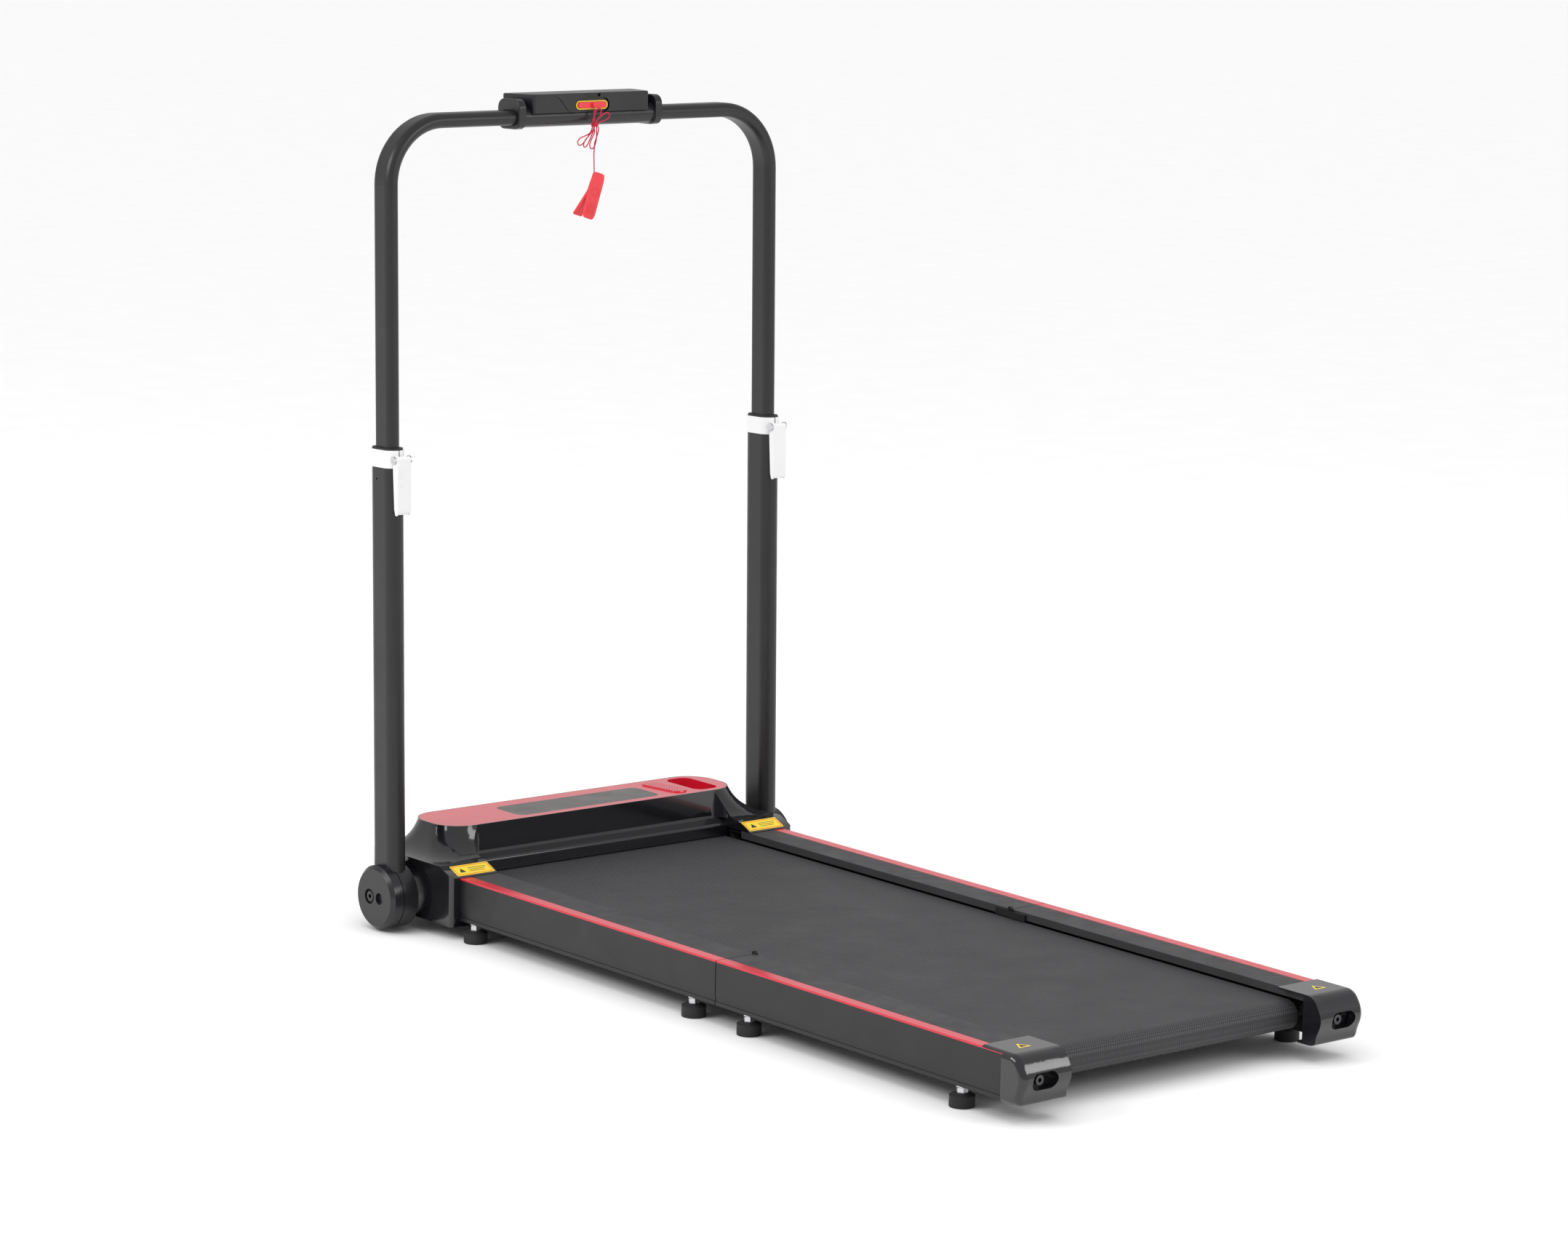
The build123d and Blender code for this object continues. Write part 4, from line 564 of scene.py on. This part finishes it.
def add_cord(clip_pieces):
    """The key's cord from its eye through the hank to the clip, as one spline."""
    away = [(5.6, -33.2, 1036.6), (6.0, -32.0, 1030.5), (2.6, -32.0, 1022.0), (-0.6, KNOT_Y, 1015.0)]
    into_clip = [(-0.2, KNOT_Y, DROP_END - 3.5), (0.6, KNOT_Y, DROP_END - 7.0)]
    route = UPPER_ROUTE + HANK_ROUTE + tie_turns() + away + DROP_ROUTE + into_clip
    data = bpy.data.curves.new("key_cord_line", "CURVE")
    data.dimensions = "3D"
    data.bevel_depth = CORD_DIAMETER / 2
    data.bevel_resolution = 3
    data.resolution_u = 6
    spline = data.splines.new("NURBS")
    spline.points.add(len(route) - 1)
    for point, place in zip(spline.points, route):
        point.co = (*on_mast(*place), 1.0)
    spline.order_u = 3
    spline.use_endpoint_u = True
    data.materials.append(PAINTS["red_cord"])
    line = bpy.data.objects.new("key_cord_line", data)
    scene.collection.objects.link(line)
    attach(line, "safety_key")
    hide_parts("key_cord", "key_cord_hank")


# ------------------------------------------------------------------ clothes clip
CLIP_LENGTH = 65.0
CLIP_WIDTH = 21.0
JAW_WALL = 3.2
PIN_Y = 3.2
PIN_Z = -27.0
RING_RADIUS = 5.6
RING_WIDTH = 0.55
RING_HEIGHT = 0.45
RING_STEPS = 40
RING_SECTION = 8
RIB_COUNT = 6
RIB_REACH = 7.0
RIB_HALF_WIDTH = 0.6
RIB_PITCH = 2.4
RIB_FIRST = 8.0
COIL_TURNS = 6
COIL_STEPS = 12
COIL_HALF_LENGTH = 3.2
COIL_RADIUS = 2.1
WIRE_RADIUS = 0.45


def clip_place():
    """Function that turns clip coordinates in millimetres into a point: right, forward, up."""
    joint = joints["clip_squeeze"]
    across = -Vector(joint["axis"])
    up = Vector((across.z * -1.0, 0.0, across.x))
    forward = Vector((0, 1, 0))
    origin = Vector(joint["pos_m"]) - (forward * PIN_Y + up * PIN_Z) * MM

    def place(x, y, z):
        return origin + (across * x + forward * y + up * z) * MM

    return place


def add_clip_ring(place):
    """Raised ring on the front jaw, round the pin."""
    hoop = bmesh.new()
    for i in range(RING_STEPS):
        turn = 2 * math.pi * i / RING_STEPS
        for j in range(RING_SECTION):
            around = 2 * math.pi * j / RING_SECTION
            radius = RING_RADIUS + RING_WIDTH * math.cos(around)
            proud = -JAW_WALL - 1.25 + RING_HEIGHT * math.sin(around)
            spot = (radius * math.cos(turn), proud, radius * math.sin(turn) + PIN_Z)
            hoop.verts.new(place(*spot))
    hoop.verts.ensure_lookup_table()
    for i in range(RING_STEPS):
        here = i * RING_SECTION
        ahead = (i + 1) % RING_STEPS * RING_SECTION
        for j in range(RING_SECTION):
            beside = (j + 1) % RING_SECTION
            corners = (here + j, here + beside, ahead + beside, ahead + j)
            hoop.faces.new([hoop.verts[corner] for corner in corners])
    bmesh.ops.recalc_face_normals(hoop, faces=hoop.faces)
    mesh = bpy.data.meshes.new("clip_ring")
    hoop.to_mesh(mesh)
    hoop.free()
    shade_smooth(mesh)
    return add_piece("clip_ring", mesh, "safety_key", "red_key")


def add_clip_ribs(place):
    """Gripping ribs across the lower end of the front jaw."""
    ribs = []
    for index in range(RIB_COUNT):
        level = -CLIP_LENGTH + RIB_FIRST + RIB_PITCH * index
        low, high = level - RIB_HALF_WIDTH, level + RIB_HALF_WIDTH
        corners = [(-RIB_REACH, low), (RIB_REACH, low), (RIB_REACH, high), (-RIB_REACH, high)]
        bar = rounded(corners, 0.6, 3)
        rib = extruded(bar, -JAW_WALL - 1.75, -JAW_WALL - 0.9, lambda u, v, w: place(u, w, v))
        piece = add_piece(f"clip_rib_{index + 1}", rib, "safety_key", "red_key")
        round_edges(piece, 0.3 * MM, 2)
        ribs.append(piece)
    return ribs


def add_clip_coil(place):
    """Wire spring round the pin, with a leg on each jaw."""
    wire = bpy.data.curves.new("clip_coil", "CURVE")
    wire.dimensions = "3D"
    wire.bevel_depth = WIRE_RADIUS * MM
    wire.bevel_resolution = 3
    coil = []
    for step in range(COIL_TURNS * COIL_STEPS + 1):
        angle = 2 * math.pi * step / COIL_STEPS
        x = -COIL_HALF_LENGTH + 2 * COIL_HALF_LENGTH * step / (COIL_TURNS * COIL_STEPS)
        coil.append((x, PIN_Y + COIL_RADIUS * math.cos(angle), PIN_Z + COIL_RADIUS * math.sin(angle)))
    legs = [(-COIL_HALF_LENGTH, 1.2, PIN_Z - 13.0), (-COIL_HALF_LENGTH, 3.6, PIN_Z - 6.0)]
    tail = [(COIL_HALF_LENGTH, 5.4, PIN_Z - 4.0), (COIL_HALF_LENGTH, 9.5, PIN_Z - 10.0)]
    line = legs + coil + tail
    spline = wire.splines.new("NURBS")
    spline.points.add(len(line) - 1)
    for point, spot in zip(spline.points, line):
        point.co = (*place(*spot), 1.0)
    spline.order_u = 3
    spline.use_endpoint_u = True
    wire.materials.append(PAINTS["zinc"])
    spring = bpy.data.objects.new("clip_coil", wire)
    scene.collection.objects.link(spring)
    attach(spring, "safety_key")
    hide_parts("clip_spring")
    return spring


def add_clip():
    """Two moulded jaws, their spring and the relief on the front jaw."""
    place = clip_place()
    half = CLIP_WIDTH / 2
    face = [
        (-half + 1.0, 0.0),
        (half - 2.0, 0.0),
        (half, -8.0),
        (half - 0.5, -CLIP_LENGTH + 7.0),
        (half - 3.0, -CLIP_LENGTH),
        (-half + 3.0, -CLIP_LENGTH + 0.5),
        (-half + 0.5, -CLIP_LENGTH + 6.0),
        (-half, -12.0),
    ]
    front = extruded(rounded(face, 4.5), -JAW_WALL - 1.2, -0.5, lambda u, v, w: place(u, w, v))
    front_jaw = add_piece("clip_jaw_front", front, "safety_key", "red_key")
    round_edges(front_jaw, 1.1 * MM, 4)
    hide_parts("clip_front_jaw")

    ring = add_clip_ring(place)
    ribs = add_clip_ribs(place)

    side = [
        (0.3, -2.0),
        (2.4, -1.5),
        (4.6, -18.0),
        (PIN_Y + 2.6, PIN_Z),
        (24.0, -59.5),
        (23.6, -62.5),
        (20.8, -62.2),
        (2.6, -31.5),
        (1.2, PIN_Z),
        (2.6, -18.5),
        (0.3, -7.5),
    ]
    rear = extruded(rounded(side, 2.2, 5), -half + 3.5, half - 3.5, lambda u, v, w: place(w, u, v))
    rear_jaw = add_piece("clip_jaw_rear", rear, "clip_jaw", "red_key")
    round_edges(rear_jaw, 0.7 * MM, 3)
    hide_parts("clip_rear_jaw")

    return [front_jaw, ring, *ribs, rear_jaw, add_clip_coil(place)]


# ------------------------------------------------------------------ stickers
STICKER = 0.25
LABEL_FOOT = 1.0
LABEL_SLOPE = 27.0
LABEL_X = 0.254
LABEL_HALF_LENGTH = 31.0
LABEL_HALF_HEIGHT = 11.5
LABEL_BARS = 3
BAR_PITCH = 3.6
BAR_HALF_HEIGHT = 0.45
BAR_START = -6.0
CAP_SIGN_FROM_END = 48.0


def flat_piece(name, outline, lift, place, paint, slot, body):
    """Thin sticker shape, this high above its surface."""
    mesh = extruded(outline, lift - STICKER, lift, place)
    mesh.materials.append(paint)
    add_piece(name, mesh, body, slot)


def add_stickers():
    """Plain caution stickers on the covers' slopes and small triangles on the end caps."""
    ink = finish_of("sticker_ink", (0.03, 0.03, 0.03), 0.5, tint=0.1)
    border = finish_of("sticker_border", (0.70, 0.03, 0.03), 0.4, tint=0.05)
    low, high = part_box("side_covers")
    rail_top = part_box("foot_rails_front")[1][2]
    foot = Vector((0, low[1], rail_top + LABEL_FOOT * MM))
    head = Vector((0, low[1] + LABEL_SLOPE * MM, high[2]))
    run = (head - foot).normalized()
    out = Vector((0, -run.z, run.y))
    middle = (foot + head) / 2
    for word, side in (("left", -1), ("right", 1)):
        centre = middle + Vector((side * LABEL_X, 0, 0))

        def place(u, v, w, centre=centre):
            return centre + Vector((u * MM, 0, 0)) + run * v * MM + out * w * MM

        half_u, half_v = LABEL_HALF_LENGTH, LABEL_HALF_HEIGHT
        base = rounded([(-half_u, -half_v), (half_u, -half_v), (half_u, half_v), (-half_u, half_v)], 1.5, 3)
        flat_piece(f"label_{word}_base", base, 0.2, place, PAINTS["yellow"], "yellow", "deck_front")
        line_u, line_v, width = half_u - 2.0, half_v - 1.8, 0.9
        bars = [
            (-line_u, -line_v, line_u, -line_v + width),
            (-line_u, line_v - width, line_u, line_v),
            (-line_u, -line_v, -line_u + width, line_v),
            (line_u - width, -line_v, line_u, line_v),
        ]
        for index, (a, b, c, d) in enumerate(bars):
            strip = [(a, b), (c, b), (c, d), (a, d)]
            flat_piece(f"label_{word}_line_{index + 1}", strip, 0.3, place, border, "red_trim", "deck_front")
        sign = [(-22.5, -4.5), (-12.5, -4.5), (-17.5, 4.5)]
        flat_piece(f"label_{word}_sign", rounded(sign, 1.0, 3), 0.3, place, ink, "matte_black", "deck_front")
        for index in range(LABEL_BARS):
            level = BAR_PITCH - BAR_PITCH * index
            reach = 24.0 - 3.0 * index
            bottom, top = level - BAR_HALF_HEIGHT, level + BAR_HALF_HEIGHT
            bar = [(BAR_START, bottom), (reach, bottom), (reach, top), (BAR_START, top)]
            flat_piece(f"label_{word}_bar_{index + 1}", bar, 0.3, place, ink, "matte_black", "deck_front")
        cap_low, cap_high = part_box(f"end_cap_{word}")
        spot = Vector(((cap_low[0] + cap_high[0]) / 2, cap_low[1] + CAP_SIGN_FROM_END * MM, cap_high[2]))

        def cap_place(u, v, w, spot=spot):
            return spot + Vector((u, v, w)) * MM

        triangle = rounded([(-10.0, -8.0), (10.0, -8.0), (0.0, 9.5)], 2.5, 4)
        inner = rounded([(-5.6, -5.4), (5.6, -5.4), (0.0, 4.6)], 1.2, 4)
        flat_piece(f"cap_sign_{word}", triangle, 0.15, cap_place, PAINTS["yellow"], "yellow", "deck_rear")
        flat_piece(f"cap_mark_{word}", inner, 0.25, cap_place, ink, "matte_black", "deck_rear")


# ------------------------------------------------------------------ floor and light
FLOOR_REACH = 45.0
WORLD_STRENGTH = 0.62


def add_stage():
    """Pale seamless floor and even studio light."""
    corners = [(-FLOOR_REACH, -FLOOR_REACH, 0), (FLOOR_REACH, -FLOOR_REACH, 0)]
    corners += [(FLOOR_REACH, FLOOR_REACH, 0), (-FLOOR_REACH, FLOOR_REACH, 0)]
    mesh = bpy.data.meshes.new("floor")
    mesh.from_pydata(corners, [], [(0, 1, 2, 3)])
    floor = bpy.data.objects.new("floor", mesh)
    scene.collection.objects.link(floor)
    mesh.materials.append(
        finish_of("floor_paint", (0.93, 0.93, 0.93), 0.8, tint=0.01, depth=0.00002, Specular_IOR_Level=0.1)
    )
    world = bpy.data.worlds.new("studio")
    world.use_nodes = True
    world.node_tree.nodes["Background"].inputs["Color"].default_value = (1, 1, 1, 1)
    world.node_tree.nodes["Background"].inputs["Strength"].default_value = WORLD_STRENGTH
    scene.world = world
    scene.view_settings.view_transform = "Standard"


def add_sun(name, direction, power, spread_angle):
    """Broad even light from a direction."""
    data = bpy.data.lights.new(name, "SUN")
    data.energy = power
    data.angle = math.radians(spread_angle)
    lamp = bpy.data.objects.new(name, data)
    lamp.rotation_euler = Vector(direction).to_track_quat("-Z", "Y").to_euler()
    lamp.visible_glossy = False
    scene.collection.objects.link(lamp)


def add_area(name, place, target, size, power):
    """Rectangular soft box aimed at a point."""
    data = bpy.data.lights.new(name, "AREA")
    data.shape = "RECTANGLE"
    data.size, data.size_y = size
    data.energy = power
    lamp = bpy.data.objects.new(name, data)
    lamp.location = place
    lamp.rotation_euler = (Vector(target) - Vector(place)).to_track_quat("-Z", "Y").to_euler()
    scene.collection.objects.link(lamp)


# ------------------------------------------------------------------ build
add_camera()
add_stage()
add_sun("overhead", (0.1, 0.15, -1.0), 1.35, 70.0)
add_area("left_box", (-3.4, 1.2, 2.6), (0, 0.3, 0.4), (2.6, 1.4), 60)
add_area("rear_box", (1.8, -3.6, 2.2), (0, 0, 0.3), (2.4, 1.2), 40)
paint_cad_nodes()
soften_edges()
add_running_belt()
add_stickers()
add_cord(add_clip())
